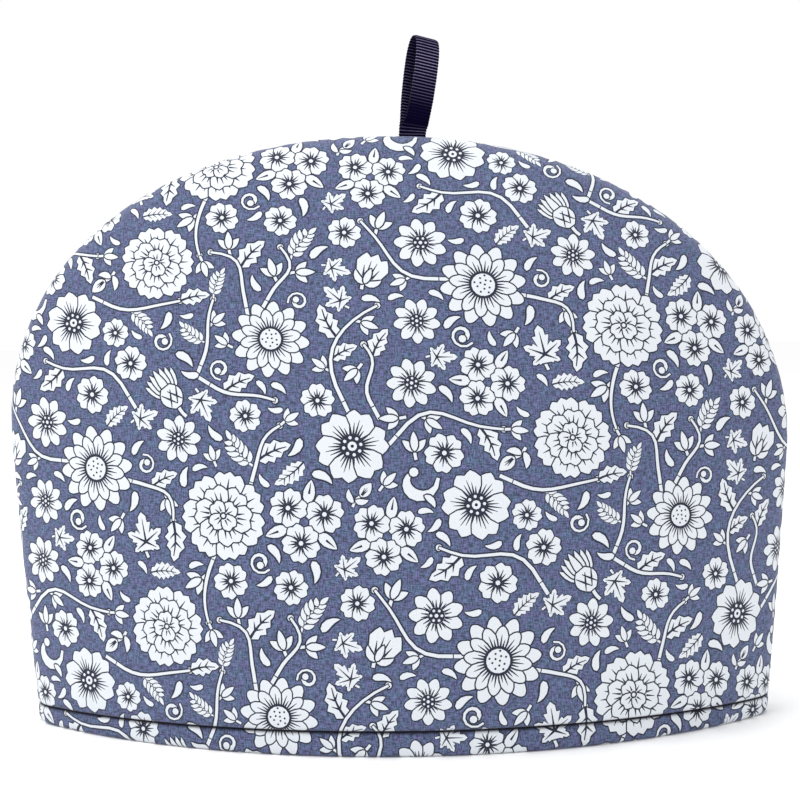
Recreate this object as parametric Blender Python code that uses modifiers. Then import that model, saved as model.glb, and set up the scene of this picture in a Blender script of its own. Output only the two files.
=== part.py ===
"""A padded tea cosy, standing open on its hem.

Two dome-shaped panels are sewn together over the crest and left open below, and a folded
ribbon loop is caught in the seam at the top. Metres, +Z up, +X to the right, the front
panel towards -Y, and the origin on the surface it stands on, under the middle.
"""

import math

import bmesh
import bpy
import numpy as np

# The ridge of the seam, seen from the front.
CREST_HEIGHT = 0.2535
WIDEST_HEIGHT = 0.123
HALF_WIDTH = 0.170
HEM_HALF_WIDTH = 0.161
DOME_POWER = 2.12  # of the superellipse above the widest height
FLARE_POWER = 1.1  # of the draw-in below it
CREST_LEAN = -0.0067  # how far the dome's top leans to one side

# How far each panel stands out from the seam.
WALL = 0.005  # cloth and wadding together
SEAM_GAP = 0.0003  # between the two panels
ROLL_RADIUS = 0.007  # of the padded edge beside the seam
ROLL_START = math.radians(-30)  # how far the edge turns down into the seam
BULGE = 0.058  # of each panel at the hem, past its rolled edge
BULGE_POWER = 0.88  # across the cosy
RISE_POWER = 2.4  # up the cosy: the bulge stays full below and closes at the crest
CLOSE_POWER = 0.85

# The hem, turned up inside and stitched through.
STITCH_HEIGHT = 0.0102  # of the stitched line in the middle of a panel
STITCH_DROP = 0.0022  # how much lower it is at the side seams
STITCH_DEPTH = 0.0011
STITCH_WIDTH = 0.0017
INNER_RUN = 0.03  # how quickly the hem's relief and the waves begin, inwards from the seam
PAD_RISE = 0.0012  # the padding's fullness above the stitched line
PAD_RUN = 0.014

# Soft unevenness of the padded cloth: each wave's height, its lengths across and up, and phase.
WAVES = (
    {"height": 0.0007, "across": 0.170, "up": 0.210, "phase": 0.6},
    {"height": 0.0005, "across": 0.095, "up": -0.150, "phase": 2.1},
    {"height": 0.0003, "across": 0.061, "up": 0.083, "phase": 4.4},
)
BACK_PHASE = 1.9  # the back panel has its own unevenness
WAVE_START = 0.012  # height above the hem where the waves begin
WAVE_RUN = 0.05

# The ribbon loop.
RIBBON_WIDTH = 0.012
RIBBON_THICKNESS = 0.0010
RIBBON_X = 0.0048
RIB_PITCH = 0.0013
RIB_VALLEY = 0.55  # thickness between two ribs, as a share
RIB_STEPS = 4
LOOP_TWIST = math.radians(28)  # of the fold at the top against the ends in the seam
LOOP_LEAN = math.radians(8)
LEAN_RUN = 0.006  # height above the crest over which the loop starts to lean
LOOP_HEIGHT = 0.0446  # of its top above the crest
# Half of the loop's closed curve, from the end in the seam to the fold at the top.
LOOP_CURVE = (
    {"out": 0.00068, "up": -0.0045},
    {"out": 0.00068, "up": -0.0010},
    {"out": 0.00130, "up": 0.0022},
    {"out": 0.00340, "up": 0.0090},
    {"out": 0.00500, "up": 0.0180},
    {"out": 0.00520, "up": 0.0280},
    {"out": 0.00430, "up": 0.0370},
    {"out": 0.00240, "up": 0.0428},
    {"out": 0.00000, "up": LOOP_HEIGHT},
)
NOTCH_DEPTH = 0.0015  # how far each panel stands back to let the ribbon into the seam
NOTCH_FLAT = 0.0066  # half the notch's width at its full depth
NOTCH_END = 0.0100  # half its width where it ends

# How finely the panels are drawn.
HALF_COLUMNS = 9  # between the edge rings and the notch
EDGE_RINGS = (0.0, 0.0042, 0.0084, 0.0130, 0.0190)  # distances from the seam along the cloth
HEM_ROWS = (0.0, 0.15, 0.55, 0.82, 1.0, 1.18, 1.55)  # heights, as shares of the stitched line's
UPPER_ROWS = 17
SHOULDER = math.radians(48)  # where the sides of the grid meet its top
OUTLINE_STEPS = 720
CURVE_STEPS = 24
HAIR = 1e-7  # far less than any size here


def half_width(height):
    """Half the ridge's width at each height, from the hem to the crest."""
    above = np.clip((height - WIDEST_HEIGHT) / (CREST_HEIGHT - WIDEST_HEIGHT), 0, 1)
    below = np.clip((WIDEST_HEIGHT - height) / WIDEST_HEIGHT, 0, 1)
    dome = HALF_WIDTH * (1 - above**DOME_POWER) ** (1 / DOME_POWER)
    return dome - (HALF_WIDTH - HEM_HALF_WIDTH) * below**FLARE_POWER


def lean(height):
    """How far the middle of the dome stands to one side at each height."""
    share = np.clip((height - WIDEST_HEIGHT) / (CREST_HEIGHT - WIDEST_HEIGHT), 0, 1)
    return CREST_LEAN * share


def dome_point(angle):
    """A point of the ridge above its widest height, with the angle from the right side."""
    across = np.sign(np.cos(angle)) * np.abs(np.cos(angle)) ** (2 / DOME_POWER)
    share = np.abs(np.sin(angle)) ** (2 / DOME_POWER)
    height = WIDEST_HEIGHT + (CREST_HEIGHT - WIDEST_HEIGHT) * share
    return np.stack([HALF_WIDTH * across + lean(height), height], -1)


def side_point(height, side):
    """A point of the ridge at or below its widest height, on one side."""
    return np.stack([side * half_width(height), height], -1)


def ridge_line():
    """The ridge from the right foot over the crest to the left foot, as points."""
    rise = np.linspace(-0.02, WIDEST_HEIGHT, OUTLINE_STEPS // 4, endpoint=False)
    angles = np.linspace(0, math.pi, OUTLINE_STEPS)
    return np.concatenate(
        [side_point(rise, 1.0), dome_point(angles), side_point(rise[::-1], -1.0)]
    )


def outward(line):
    """The unit normals of the ridge line, pointing away from the cosy."""
    along = np.gradient(line, axis=0)
    normal = np.stack([along[:, 1], -along[:, 0]], -1)
    return normal / np.linalg.norm(normal, axis=1, keepdims=True)


ROLL_ARC = ROLL_RADIUS * (math.pi / 2 - ROLL_START)  # cloth used up by the rolled edge
CUT_MARGIN = ROLL_ARC - ROLL_RADIUS  # how far the flat cloth reaches past the ridge
RIDGE = ridge_line()
RIDGE_NORMALS = outward(RIDGE)
CUT_LINE = RIDGE + CUT_MARGIN * RIDGE_NORMALS  # the panel's seam edge while it is flat


def stitch_height(across):
    """The height of the stitched line, with across from -1 to 1 over the hem."""
    return STITCH_HEIGHT - STITCH_DROP * across**2


def unevenness(x, z, phase):
    """The soft waves of the padded cloth, fading out at the hem."""
    waves = sum(
        w["height"] * np.sin(2 * math.pi * (x / w["across"] + z / w["up"]) + w["phase"] + phase)
        for w in WAVES
    )
    return waves * np.clip((z - WAVE_START) / WAVE_RUN, 0, 1)


def to_seam(flat):
    """How far points of the flat cloth are from its seam edge, and which way the edge faces."""
    start = CUT_LINE[:-1]
    span = CUT_LINE[1:] - start
    offset = flat[:, None] - start
    share = np.clip((offset * span).sum(2) / (span**2).sum(1), 0, 1)
    apart = np.linalg.norm(offset - share[..., None] * span, axis=2)
    nearest = apart.argmin(1)
    share = share[np.arange(len(flat)), nearest, None]
    normal = RIDGE_NORMALS[nearest] * (1 - share) + RIDGE_NORMALS[nearest + 1] * share
    return np.round(apart.min(1), 7), normal


def notch_at(x, cloth):
    """How far a panel stands back from the seam to let the ribbon in."""
    beside = np.clip((NOTCH_END - np.abs(x - RIBBON_X)) / (NOTCH_END - NOTCH_FLAT), 0, 1)
    return NOTCH_DEPTH * beside * np.clip(1 - cloth / ROLL_ARC, 0, 1)


def panel_points(flat, side):
    """The place in space of points of the flat cloth. side is -1 for the front panel."""
    cloth, normal = to_seam(flat)
    turn = np.minimum(ROLL_START + cloth / ROLL_RADIUS, math.pi / 2)
    rolled = CUT_MARGIN + ROLL_RADIUS * (1 - np.cos(turn)) - cloth
    placed = flat - normal * np.where(cloth < ROLL_ARC, rolled, 0.0)[:, None]
    x = placed[:, 0]
    z = np.where(flat[:, 1] < HAIR, 0.0, placed[:, 1])
    roll = ROLL_RADIUS * (np.sin(turn) - math.sin(ROLL_START))
    share = np.clip(np.abs(x - lean(z)) / np.maximum(half_width(z), HAIR), 0, 1)
    height = np.clip(z / CREST_HEIGHT, 0, 1)
    bulge = BULGE * (1 - share**2) ** BULGE_POWER * (1 - height**RISE_POWER) ** CLOSE_POWER
    bulge = np.where(turn > 0, bulge, 0.0)
    line = stitch_height(np.clip(x / HEM_HALF_WIDTH, -1, 1))
    groove = STITCH_DEPTH * np.exp(-(((z - line) / STITCH_WIDTH) ** 2))
    pad = PAD_RISE * np.clip((z - line) / PAD_RUN, 0, 1)
    wave = unevenness(x, z, 0.0 if side < 0 else BACK_PHASE)
    notch = np.where(z > CREST_HEIGHT / 2, notch_at(x, cloth), 0.0)
    inner = np.clip((cloth - ROLL_ARC / 3) / INNER_RUN, 0, 1)
    depth = SEAM_GAP / 2 + roll + bulge + notch + inner * (wave + pad - groove)
    return np.stack([x, side * depth, z], -1)


def run_length(line):
    """The length along a line of points, from its start to each of them."""
    return np.concatenate([[0], np.cumsum(np.linalg.norm(np.diff(line, axis=0), axis=1))])


def at_length(line, length):
    """The points at given lengths along a line."""
    along = run_length(line)
    return np.stack([np.interp(length, along, line[:, k]) for k in (0, 1)], -1)


def columns(top_length):
    """The grid's columns from left to right, as shares: at the hem, and with the notch's."""
    edges = np.array(EDGE_RINGS) / (2 * (HEM_HALF_WIDTH + CUT_MARGIN))
    offsets = np.array([-NOTCH_END, -NOTCH_FLAT, NOTCH_FLAT, NOTCH_END])
    notch = 0.5 + (RIBBON_X - CREST_LEAN + offsets) / top_length
    left = np.linspace(edges[-1], notch[0], HALF_COLUMNS + 2)[1:-1]
    right = np.linspace(notch[-1], 1 - edges[-1], HALF_COLUMNS + 2)[1:-1]
    middle = np.concatenate([left, notch, right])
    even = np.linspace(edges[-1], 1 - edges[-1], len(middle) + 2)[1:-1]
    return [np.concatenate([edges, inner, 1 - edges[::-1]]) for inner in (even, middle)]


def hem_rows(side, across):
    """The grid's lowest rows, from the hem to just above its stitched line."""
    rows = []
    for share in HEM_ROWS:
        height = share * stitch_height(2 * across - 1)
        foot = np.interp(height, side[:, 1], side[:, 0])
        rows.append(np.stack([foot * (2 * across - 1), height], -1))
    return rows


def up_the_side(line, low, shares):
    """Points up one side of the cut line, at shares of its length above a low point."""
    along = run_length(line)
    start = np.interp(low[1], line[:, 1], along)
    return at_length(line, start + (along[-1] - start) * shares)


def flat_grid():
    """The flat cloth's grid: rows from the hem upwards, columns from left to right."""
    corner = np.linalg.norm(RIDGE - dome_point(np.array([SHOULDER])), axis=1).argmin()
    right_line, left_line = CUT_LINE[: corner + 1], CUT_LINE[::-1][: corner + 1]
    top_line = CUT_LINE[corner : len(CUT_LINE) - corner]
    top_length = run_length(top_line)[-1]
    low_across, high_across = columns(top_length)
    rows = hem_rows(right_line, low_across)
    low, high = rows[-1], at_length(top_line, (1 - high_across) * top_length)
    edges = np.array(EDGE_RINGS) / (CREST_HEIGHT - low[:, 1].max())
    up = np.linspace(0, 1 - edges[-1], UPPER_ROWS + 1)[1:-1]
    up = np.concatenate([up, 1 - edges[::-1]])
    right, left = up_the_side(right_line, low[-1], up), up_the_side(left_line, low[0], up)
    for t, right_end, left_end in zip(up, right, left):
        from_left = (low_across * (1 - t) + high_across * t)[:, None]
        between_rows = low * (1 - t) + high * t
        between_sides = left_end * (1 - from_left) + right_end * from_left
        corners = between_rows[0] * (1 - from_left) + between_rows[-1] * from_left
        rows.append(between_rows + between_sides - corners)
    return np.array(rows)


def material(name, colour, roughness):
    """A plain cloth finish."""
    made = bpy.data.materials.new(name)
    made.use_nodes = True
    shader = made.node_tree.nodes["Principled BSDF"]
    shader.inputs["Base Color"].default_value = (*colour, 1.0)
    shader.inputs["Roughness"].default_value = roughness
    shader.inputs["Metallic"].default_value = 0.0
    return made


def grid_object(name, points, finish, collection):
    """An open sheet whose points are given by rows, made from Blender's grid."""
    row_count, column_count = points.shape[:2]
    sheet = bmesh.new()
    bmesh.ops.create_grid(sheet, x_segments=column_count - 1, y_segments=row_count - 1, size=1)
    mesh = bpy.data.meshes.new(name)
    sheet.to_mesh(mesh)
    sheet.free()
    mesh.vertices.foreach_set("co", points.ravel())
    mesh.materials.append(finish)
    made = bpy.data.objects.new(name, mesh)
    collection.objects.link(made)
    return made


def thicken(made, thickness, offset, group=None, thinnest=1.0):
    """Gives a sheet its thickness and returns the number of its first points."""
    first = len(made.data.vertices)
    wall = made.modifiers.new("wall", "SOLIDIFY")
    wall.thickness = thickness
    wall.offset = offset
    wall.use_even_offset = False
    if group:
        wall.vertex_group = group
        wall.thickness_vertex_group = thinnest
    graph = bpy.context.evaluated_depsgraph_get()
    solid = bpy.data.meshes.new_from_object(made.evaluated_get(graph))
    solid.name = made.name
    made.modifiers.clear()
    made.data = solid
    return first


def make_panel(name, side, finish, collection):
    """One padded panel: the outer cloth's grid, its wall, a flat hem and a seated seam."""
    flat = flat_grid()
    points = panel_points(flat.reshape(-1, 2), side).reshape(*flat.shape[:2], 3)
    if side > 0:
        points = points[:, ::-1]
    made = grid_object(name, points, finish, collection)
    outer = points.reshape(-1, 3)
    first = thicken(made, WALL, -1.0)
    on_hem = outer[:, 2] < HAIR
    seated = np.abs(outer[:, 1]) < SEAM_GAP / 2 + NOTCH_DEPTH + HAIR
    for index in range(first):
        inner = made.data.vertices[first + index]
        if on_hem[index]:
            inner.co.z = 0.0
        if seated[index]:
            inner.co.y = outer[index, 1]
    made.data.update()
    return made


def loop_curve():
    """The loop's closed curve as (out, up), from its front end in the seam to its back one."""
    half = np.array([[row["out"], row["up"]] for row in LOOP_CURVE])
    knots = np.concatenate([half * [-1, 1], half[-2::-1]])
    padded = np.concatenate([2 * knots[:1] - knots[1:2], knots, 2 * knots[-1:] - knots[-2:-1]])
    t = np.linspace(0, 1, CURVE_STEPS, endpoint=False)[:, None]
    spans = []
    for a, b, c, d in zip(padded, padded[1:], padded[2:], padded[3:]):
        bend = (2 * a - 5 * b + 4 * c - d) * t**2 + (3 * b - a - 3 * c + d) * t**3
        spans.append(b + ((c - a) * t + bend) / 2)
    fine = np.concatenate([*spans, knots[-1:]])
    length = run_length(fine)[-1]
    steps = RIB_STEPS * round(length / RIB_PITCH)
    return at_length(fine, np.linspace(0, length, steps + 1))


def place_on_loop(out, up, across):
    """A point of the loop in space, twisted and leaning over the seam."""
    share = np.clip(up / LOOP_HEIGHT, 0, 1)
    turn = LOOP_TWIST * share
    x = across * np.cos(turn) - out * np.sin(turn)
    y = across * np.sin(turn) + out * np.cos(turn)
    tip = LOOP_LEAN * np.clip(up / LEAN_RUN, 0, 1)
    z = up * np.cos(tip) - x * np.sin(tip)
    x = x * np.cos(tip) + up * np.sin(tip)
    return np.stack([x + RIBBON_X, y, z + CREST_HEIGHT], -1)


def make_ribbon(name, finish, collection):
    """The folded ribbon loop, with its ribs across it."""
    curve = loop_curve()
    edges = (-RIBBON_WIDTH / 2, RIBBON_WIDTH / 2)
    points = np.stack([place_on_loop(curve[:, 0], curve[:, 1], edge) for edge in edges], 1)
    made = grid_object(name, points, finish, collection)
    ribs = made.vertex_groups.new(name="ribs")
    for row in range(len(curve)):
        height = 0.5 - 0.5 * math.cos(2 * math.pi * row / RIB_STEPS)
        ribs.add([len(edges) * row, len(edges) * row + 1], height, "REPLACE")
    thicken(made, RIBBON_THICKNESS, 0.0, "ribs", RIB_VALLEY)


def main():
    """Builds the cosy."""
    for old in list(bpy.data.objects):
        bpy.data.objects.remove(old)
    cosy = bpy.data.collections.new("tea_cosy")
    bpy.context.scene.collection.children.link(cosy)
    cotton = material("printed_cotton", (0.16, 0.20, 0.38), 0.9)
    navy = material("navy_grosgrain", (0.010, 0.009, 0.028), 0.6)
    for name, side in (("front_panel", -1.0), ("back_panel", 1.0)):
        panel = make_panel(name, side, cotton, cosy)
        panel.data.shade_smooth()
        panel.data.set_sharp_from_angle(angle=math.radians(50))
    make_ribbon("ribbon_loop", navy, cosy)


main()
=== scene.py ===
"""A padded tea cosy in printed cotton, standing on its hem with its ribbon loop upright.

Two dome-shaped panels are cut from a printed floral, sewn together over the crest and
hemmed below. The print is cut into each panel's cloth, so its edges stay sharp.
Metres, +Z up, +X to the right, the front panel towards -Y.
"""

import logging
import math
from dataclasses import dataclass, field
from enum import Enum, IntEnum, auto

import bmesh
import bpy
import numpy as np
from bpy.types import Material, Mesh, Node, NodeSocket, NodeTree, Object
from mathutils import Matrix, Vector
from mathutils.geometry import delaunay_2d_cdt
from mathutils.kdtree import KDTree

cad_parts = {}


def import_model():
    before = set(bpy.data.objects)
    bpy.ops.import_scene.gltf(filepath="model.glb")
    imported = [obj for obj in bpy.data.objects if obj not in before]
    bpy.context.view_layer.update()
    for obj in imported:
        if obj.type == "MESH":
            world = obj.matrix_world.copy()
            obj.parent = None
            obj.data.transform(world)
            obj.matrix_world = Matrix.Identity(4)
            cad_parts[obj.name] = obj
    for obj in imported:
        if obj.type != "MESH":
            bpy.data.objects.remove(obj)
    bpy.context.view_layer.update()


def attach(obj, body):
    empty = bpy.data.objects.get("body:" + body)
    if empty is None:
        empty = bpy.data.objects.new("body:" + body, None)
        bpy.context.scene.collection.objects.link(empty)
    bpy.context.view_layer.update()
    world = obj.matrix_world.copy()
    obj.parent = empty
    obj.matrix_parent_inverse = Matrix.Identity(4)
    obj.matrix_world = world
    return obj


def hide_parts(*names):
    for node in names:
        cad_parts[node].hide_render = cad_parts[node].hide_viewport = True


LOG = logging.getLogger("tea_cosy")
BODY = "root"
MM = 0.001
HAIR = 1e-7  # far less than any size here
NOUGHT = 1e-12  # keeps a length that is divided by off zero
Points = np.ndarray
Pair = tuple[float, float] | np.ndarray
Colour = tuple[float, float, float]
Values = dict[str | int, NodeSocket | Colour | Material | float]


class Side(Enum):
    """The two panels, by the direction of Y that each faces."""

    FRONT = -1
    BACK = 1


def within(points: Points, outline: Points) -> Points:
    """Finds the points that lie inside an outline.

    Args:
        points: Points of the plane.
        outline: The outline's points in order.

    Returns:
        True or False for each point.
    """
    x, y = points[:, 0], points[:, 1]
    inside = np.zeros(len(points), bool)
    for (ax, ay), (bx, by) in zip(outline, np.roll(outline, -1, axis=0)):
        crosses = (ay > y) != (by > y)
        rise = by - ay if by != ay else HAIR
        inside ^= crosses & (x < (bx - ax) * (y - ay) / rise + ax)
    return inside


def area_of(outline: Points) -> float:
    """The area inside an outline."""
    x, y = outline.T
    return float(abs((x * np.roll(y, -1) - np.roll(x, -1) * y).sum()) / 2)


def unit(vectors: Points) -> Points:
    """Vectors of length one, from a row of vectors."""
    return vectors / np.maximum(np.linalg.norm(vectors, axis=-1, keepdims=True), NOUGHT)


def run_length(line: Points) -> Points:
    """The length along a line of points, from its start to each of them."""
    return np.concatenate([[0], np.cumsum(np.linalg.norm(np.diff(line, axis=0), axis=1))])


def at_length(line: Points, length: Points) -> Points:
    """The points at given lengths along a line."""
    along = run_length(line)
    return np.stack([np.interp(length, along, line[:, k]) for k in range(line.shape[1])], -1)


def evenly(line: Points, spacing: float) -> Points:
    """A line of points laid out again at an even spacing."""
    length = run_length(line)[-1]
    return at_length(line, np.linspace(0, length, max(2, round(length / spacing) + 1)))


def tree_of(points: Points) -> KDTree:
    """Sets up a search for the nearest of some points of the plane.

    Args:
        points: The points.

    Returns:
        A tree that finds a point's number.
    """
    tree = KDTree(len(points))
    for k, (x, z) in enumerate(points):
        tree.insert((x, z, 0), k)
    tree.balance()
    return tree


def chained(chains: list[Points], closed: bool, start: int = 0) -> list[Pair]:
    """The edges along chains of points that are numbered one after another.

    Args:
        chains: The points of each chain.
        closed: Whether each chain ends where it begins.
        start: The number of the first point.

    Returns:
        Pairs of numbers.
    """
    edges = []
    for chain in chains:
        end = start + len(chain)
        edges += [(k, k + 1) for k in range(start, end - 1)]
        if closed:
            edges.append((end - 1, start))
        start = end
    return edges


def new_object(
    name: str, points: Points, faces: list[tuple[int, ...]], edges: list[Pair] | None = None
) -> Object:
    """Makes a mesh object at the origin and links it to the scene.

    Args:
        name: Its name.
        points: Its points in space.
        faces: Its faces, as numbers of points.
        edges: Its edges, where it has no faces.

    Returns:
        The object, shaded smooth.
    """
    mesh = bpy.data.meshes.new(name)
    mesh.from_pydata(points.tolist(), edges or [], faces)
    mesh.shade_smooth()
    made = bpy.data.objects.new(name, mesh)
    bpy.context.scene.collection.objects.link(made)
    return made


def give_attribute(mesh: Mesh, name: str, kind: str, on: str, values: Points) -> None:
    """Writes a value or a vector for each point or face into a new attribute of a mesh."""
    made = mesh.attributes.new(name, kind, on)
    made.data.foreach_set("vector" if kind == "FLOAT_VECTOR" else "value", values.ravel())


def drop_unused(mesh: Mesh) -> None:
    """Removes points that no face uses.

    Args:
        mesh: The mesh that they are in.
    """
    work = bmesh.new()
    work.from_mesh(mesh)
    bmesh.ops.delete(work, geom=[v for v in work.verts if not v.link_faces], context="VERTS")
    work.to_mesh(mesh)
    work.free()


# The print: how its shapes are drawn
# -----------------------------------


class Ink(IntEnum):
    """The colours of the printed cloth."""

    GROUND = 0
    WHITE = 1
    DARK = 2


@dataclass(frozen=True)
class Shape:
    """One shape of the print: its ink, and its outline in millimetres of flat cloth."""

    ink: Ink
    outline: Points

    def moved(self, at: Pair, turn: float = 0.0, size: float = 1.0) -> "Shape":
        """The shape scaled, turned in radians about its origin, then set down at a place."""
        c, s = math.cos(turn) * size, math.sin(turn) * size
        return Shape(self.ink, self.outline @ np.array([[c, s], [-s, c]]) + at)


Motif = list[Shape]


def moved(motif: Motif, at: Pair = (0, 0), turn: float = 0.0, size: float = 1.0) -> Motif:
    """All of a motif's shapes scaled, turned and set down together."""
    return [shape.moved(at, turn, size) for shape in motif]


def in_ring(motif: Motif, count: int, start: float = 0.0) -> Motif:
    """A motif repeated around its origin, count times in a full turn."""
    return [s for k in range(count) for s in moved(motif, turn=start + k * math.tau / count)]


def ribbon_of(spine: Points, half: Points, closest: float = 0.02) -> Points:
    """Draws a band that follows a spine.

    Args:
        spine: Points along the middle of the band.
        half: Half the band's width at each of them.
        closest: How near two points may lie before one is dropped.

    Returns:
        The outline, anticlockwise.
    """
    along = np.gradient(spine, axis=0)
    across = np.stack([-along[:, 1], along[:, 0]], -1)
    across *= (half / np.maximum(np.linalg.norm(along, axis=1), NOUGHT))[:, None]
    left, right = spine + across, spine - across
    outline = np.concatenate([right, left[::-1]])
    apart = np.linalg.norm(outline - np.roll(outline, 1, axis=0), axis=1)
    return outline[apart > closest]


def bent(length: float, bend: float, steps: int, swing: float = 0.0) -> Points:
    """A spine from the origin along x, bowed and swung by shares of its length."""
    t = np.linspace(0, 1, steps)
    return length * np.stack([t, 4 * bend * t * (1 - t) + swing * np.sin(math.tau * t)], -1)


def curled(middle: float, reach: Points, angle: Points) -> Points:
    """A curl about a point on x, from how far out it is at each angle."""
    return np.stack([reach * np.cos(angle) + middle, reach * np.sin(angle)], -1)


def stalk(length: float, bend: float, steps: int, half: float) -> Points:
    """The outline of a bowed stalk of one width, from the origin along x."""
    return ribbon_of(bent(length, bend, steps), np.full(steps, half))


def blade(length: float, width: float, bend: float = 0.0, belly: float = 0.8) -> Points:
    """Draws a pointed blade from the origin along x.

    Args:
        length: Its length.
        width: Its greatest width.
        bend: How far it bows aside, as a share of its length.
        belly: Where it is fullest: below 1 towards its foot.

    Returns:
        The outline, anticlockwise.
    """
    t = np.array([0, 0.09, 0.27, 0.5, 0.72, 0.89, 1.0])
    spine = np.stack([length * t, 4 * bend * length * t * (1 - t)], -1)
    return ribbon_of(spine, width / 2 * np.sin(math.pi * t**belly) ** 0.8)


def disc(radius: float, at: Pair = (0, 0), sides: int = 8) -> Points:
    """The outline of a disc."""
    angles = np.arange(sides) * math.tau / sides
    return np.stack([np.cos(angles), np.sin(angles)], -1) * radius + at


def petal(
    start: float, end: float, width: float, lobes: int, depth: float = 0.3, foot: float = 0.3
) -> Points:
    """Draws a petal that points along x and ends in rounded lobes.

    Args:
        start: Where its foot is along x.
        end: Where its tip is.
        width: Its greatest width.
        lobes: How many lobes its tip has.
        depth: How deep the dips between the lobes are, as a share of the tip.
        foot: The foot's width as a share of the greatest.

    Returns:
        The outline, anticlockwise.
    """
    shoulder = start + 0.58 * (end - start)
    t = np.array([0.0, 0.5])
    side = width / 2 * (foot + (1 - foot) * np.sin(math.pi / 2 * t))
    rise = start + (shoulder - start) * t
    s = np.linspace(-1, 1, 4 * lobes + 1 if lobes > 1 else 7)
    cap = np.sqrt(np.clip(1 - np.abs(s) ** 2.4, 0, 1))
    dips = 1 - depth * (0.5 + 0.5 * np.cos(math.pi * lobes * (s + 1))) * (np.abs(s) < 0.99)
    tip = shoulder + (end - shoulder) * cap * dips
    right = np.stack([rise, -side], -1)
    left = np.stack([rise[::-1], side[::-1]], -1)
    return np.concatenate([right, np.stack([tip, width / 2 * s], -1), left])


def grown(outline: Points, by: float) -> Points:
    """Moves an outline outwards, or inwards by a distance below zero.

    Args:
        outline: The outline, anticlockwise.
        by: The distance.

    Returns:
        The outline with as many points.
    """
    ahead = np.roll(outline, -1, axis=0) - outline
    ahead /= np.maximum(np.linalg.norm(ahead, axis=1, keepdims=True), NOUGHT)
    along = ahead + np.roll(ahead, 1, axis=0)
    along /= np.maximum(np.linalg.norm(along, axis=1, keepdims=True), 0.5)  # less at a sharp tip
    return outline + by * np.stack([along[:, 1], -along[:, 0]], -1)


def inked(outline: Points, line: float = 0.6) -> Motif:
    """A white shape on its dark key line."""
    return [Shape(Ink.DARK, grown(outline, line)), Shape(Ink.WHITE, outline)]


def dark(outline: Points) -> Motif:
    """A dark shape."""
    return [Shape(Ink.DARK, outline)]


def ticks(
    start: float, lengths: tuple[float, ...], spread: float = 0.0, width: float = 0.95
) -> Motif:
    """Draws dark strokes that fan out from the foot of a petal.

    Args:
        start: How far along x they begin.
        lengths: The length of each, from one side to the other.
        spread: The angle between the first and the last, in radians.
        width: The width of each at its foot.

    Returns:
        The strokes.
    """
    made: Motif = []
    for k, length in enumerate(lengths):
        turn = spread * (k / max(len(lengths) - 1, 1) - 0.5)
        stroke = np.array([[0, -width / 2], [length, -0.1], [length, 0.1], [0, width / 2]])
        stroke = stroke + [start, 0]
        made += moved(dark(stroke), turn=turn)
    return made


def edge_of(motif: Motif, step: float = 1.0) -> Points:
    """Lays points along the white outlines of a motif.

    Args:
        motif: The motif.
        step: The furthest apart that they may be.

    Returns:
        The points.
    """
    made = []
    for shape in motif:
        if shape.ink is Ink.WHITE:
            ahead = np.roll(shape.outline, -1, axis=0)
            longest = np.linalg.norm(ahead - shape.outline, axis=1).max()
            for t in np.linspace(0, 1, max(2, math.ceil(longest / step)), endpoint=False):
                made.append(shape.outline * (1 - t) + ahead * t)
    return np.concatenate(made)


# The print: its motifs, in millimetres
# -------------------------------------


@dataclass(frozen=True)
class PetalRing:
    """A ring of petals, with dark strokes that fan out over each."""

    count: int
    start: float  # of a petal's foot, from the flower's middle
    end: float
    width: float
    lobes: int = 1
    depth: float = 0.3
    foot: float = 0.3
    line: float = 0.6
    turn: float = 0.0
    strokes: tuple[float, ...] = ()
    strokes_start: float = 0.0
    spread: float = 0.0
    stroke_width: float = 0.95

    def motif(self) -> Motif:
        """Draws the ring.

        Returns:
            Its shapes.
        """
        shape = petal(self.start, self.end, self.width, self.lobes, self.depth, self.foot)
        strokes = ticks(self.strokes_start, self.strokes, self.spread, self.stroke_width)
        return in_ring(inked(shape, self.line) + strokes, self.count, self.turn)


@dataclass(frozen=True)
class Spots:
    """A round spot at a flower's middle, or a ring of them about it."""

    ink: Ink
    radius: float
    sides: int
    count: int = 1
    out: float = 0.0

    def motif(self) -> Motif:
        """Draws the spots."""
        return in_ring([Shape(self.ink, disc(self.radius, (self.out, 0), self.sides))], self.count)


@dataclass(frozen=True)
class Flower:
    """An open flower: rings of petals from the outermost in, its eye, and the seeds on that."""

    rings: tuple[PetalRing, ...]
    eye: tuple[Spots, ...]
    seeds: int = 0
    seed_radius: float = 0.52
    seed_step: float = 1.22

    def motif(self) -> Motif:
        """Draws the flower.

        Returns:
            Its shapes, the topmost last.
        """
        made = [shape for part in (*self.rings, *self.eye) for shape in part.motif()]
        golden = math.pi * (3 - math.sqrt(5))
        for k in range(self.seeds):
            reach = self.seed_step * math.sqrt(k + 0.3)
            spot = (reach * math.cos(golden * k), reach * math.sin(golden * k))
            made += dark(disc(self.seed_radius, spot, 5))
        return made


class Kind(Enum):
    """The motifs of the print."""

    ASTER = auto()
    ANEMONE = auto()
    PEONY = auto()
    PRIMROSE = auto()
    DAISY = auto()
    BELL = auto()
    THISTLE = auto()
    LEAF = auto()
    FROND = auto()
    ROSE_LEAF = auto()
    BERRIES = auto()
    TENDRIL = auto()
    BUD = auto()
    SPRIG = auto()
    DROP = auto()
    IVY = auto()
    SCROLL = auto()
    POSY = auto()

    def draw(self) -> Motif:
        """Draws the motif about its origin, or from its origin along x."""
        return FLOWERS[self].motif() if self in FLOWERS else SPRAYS[self]()


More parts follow.
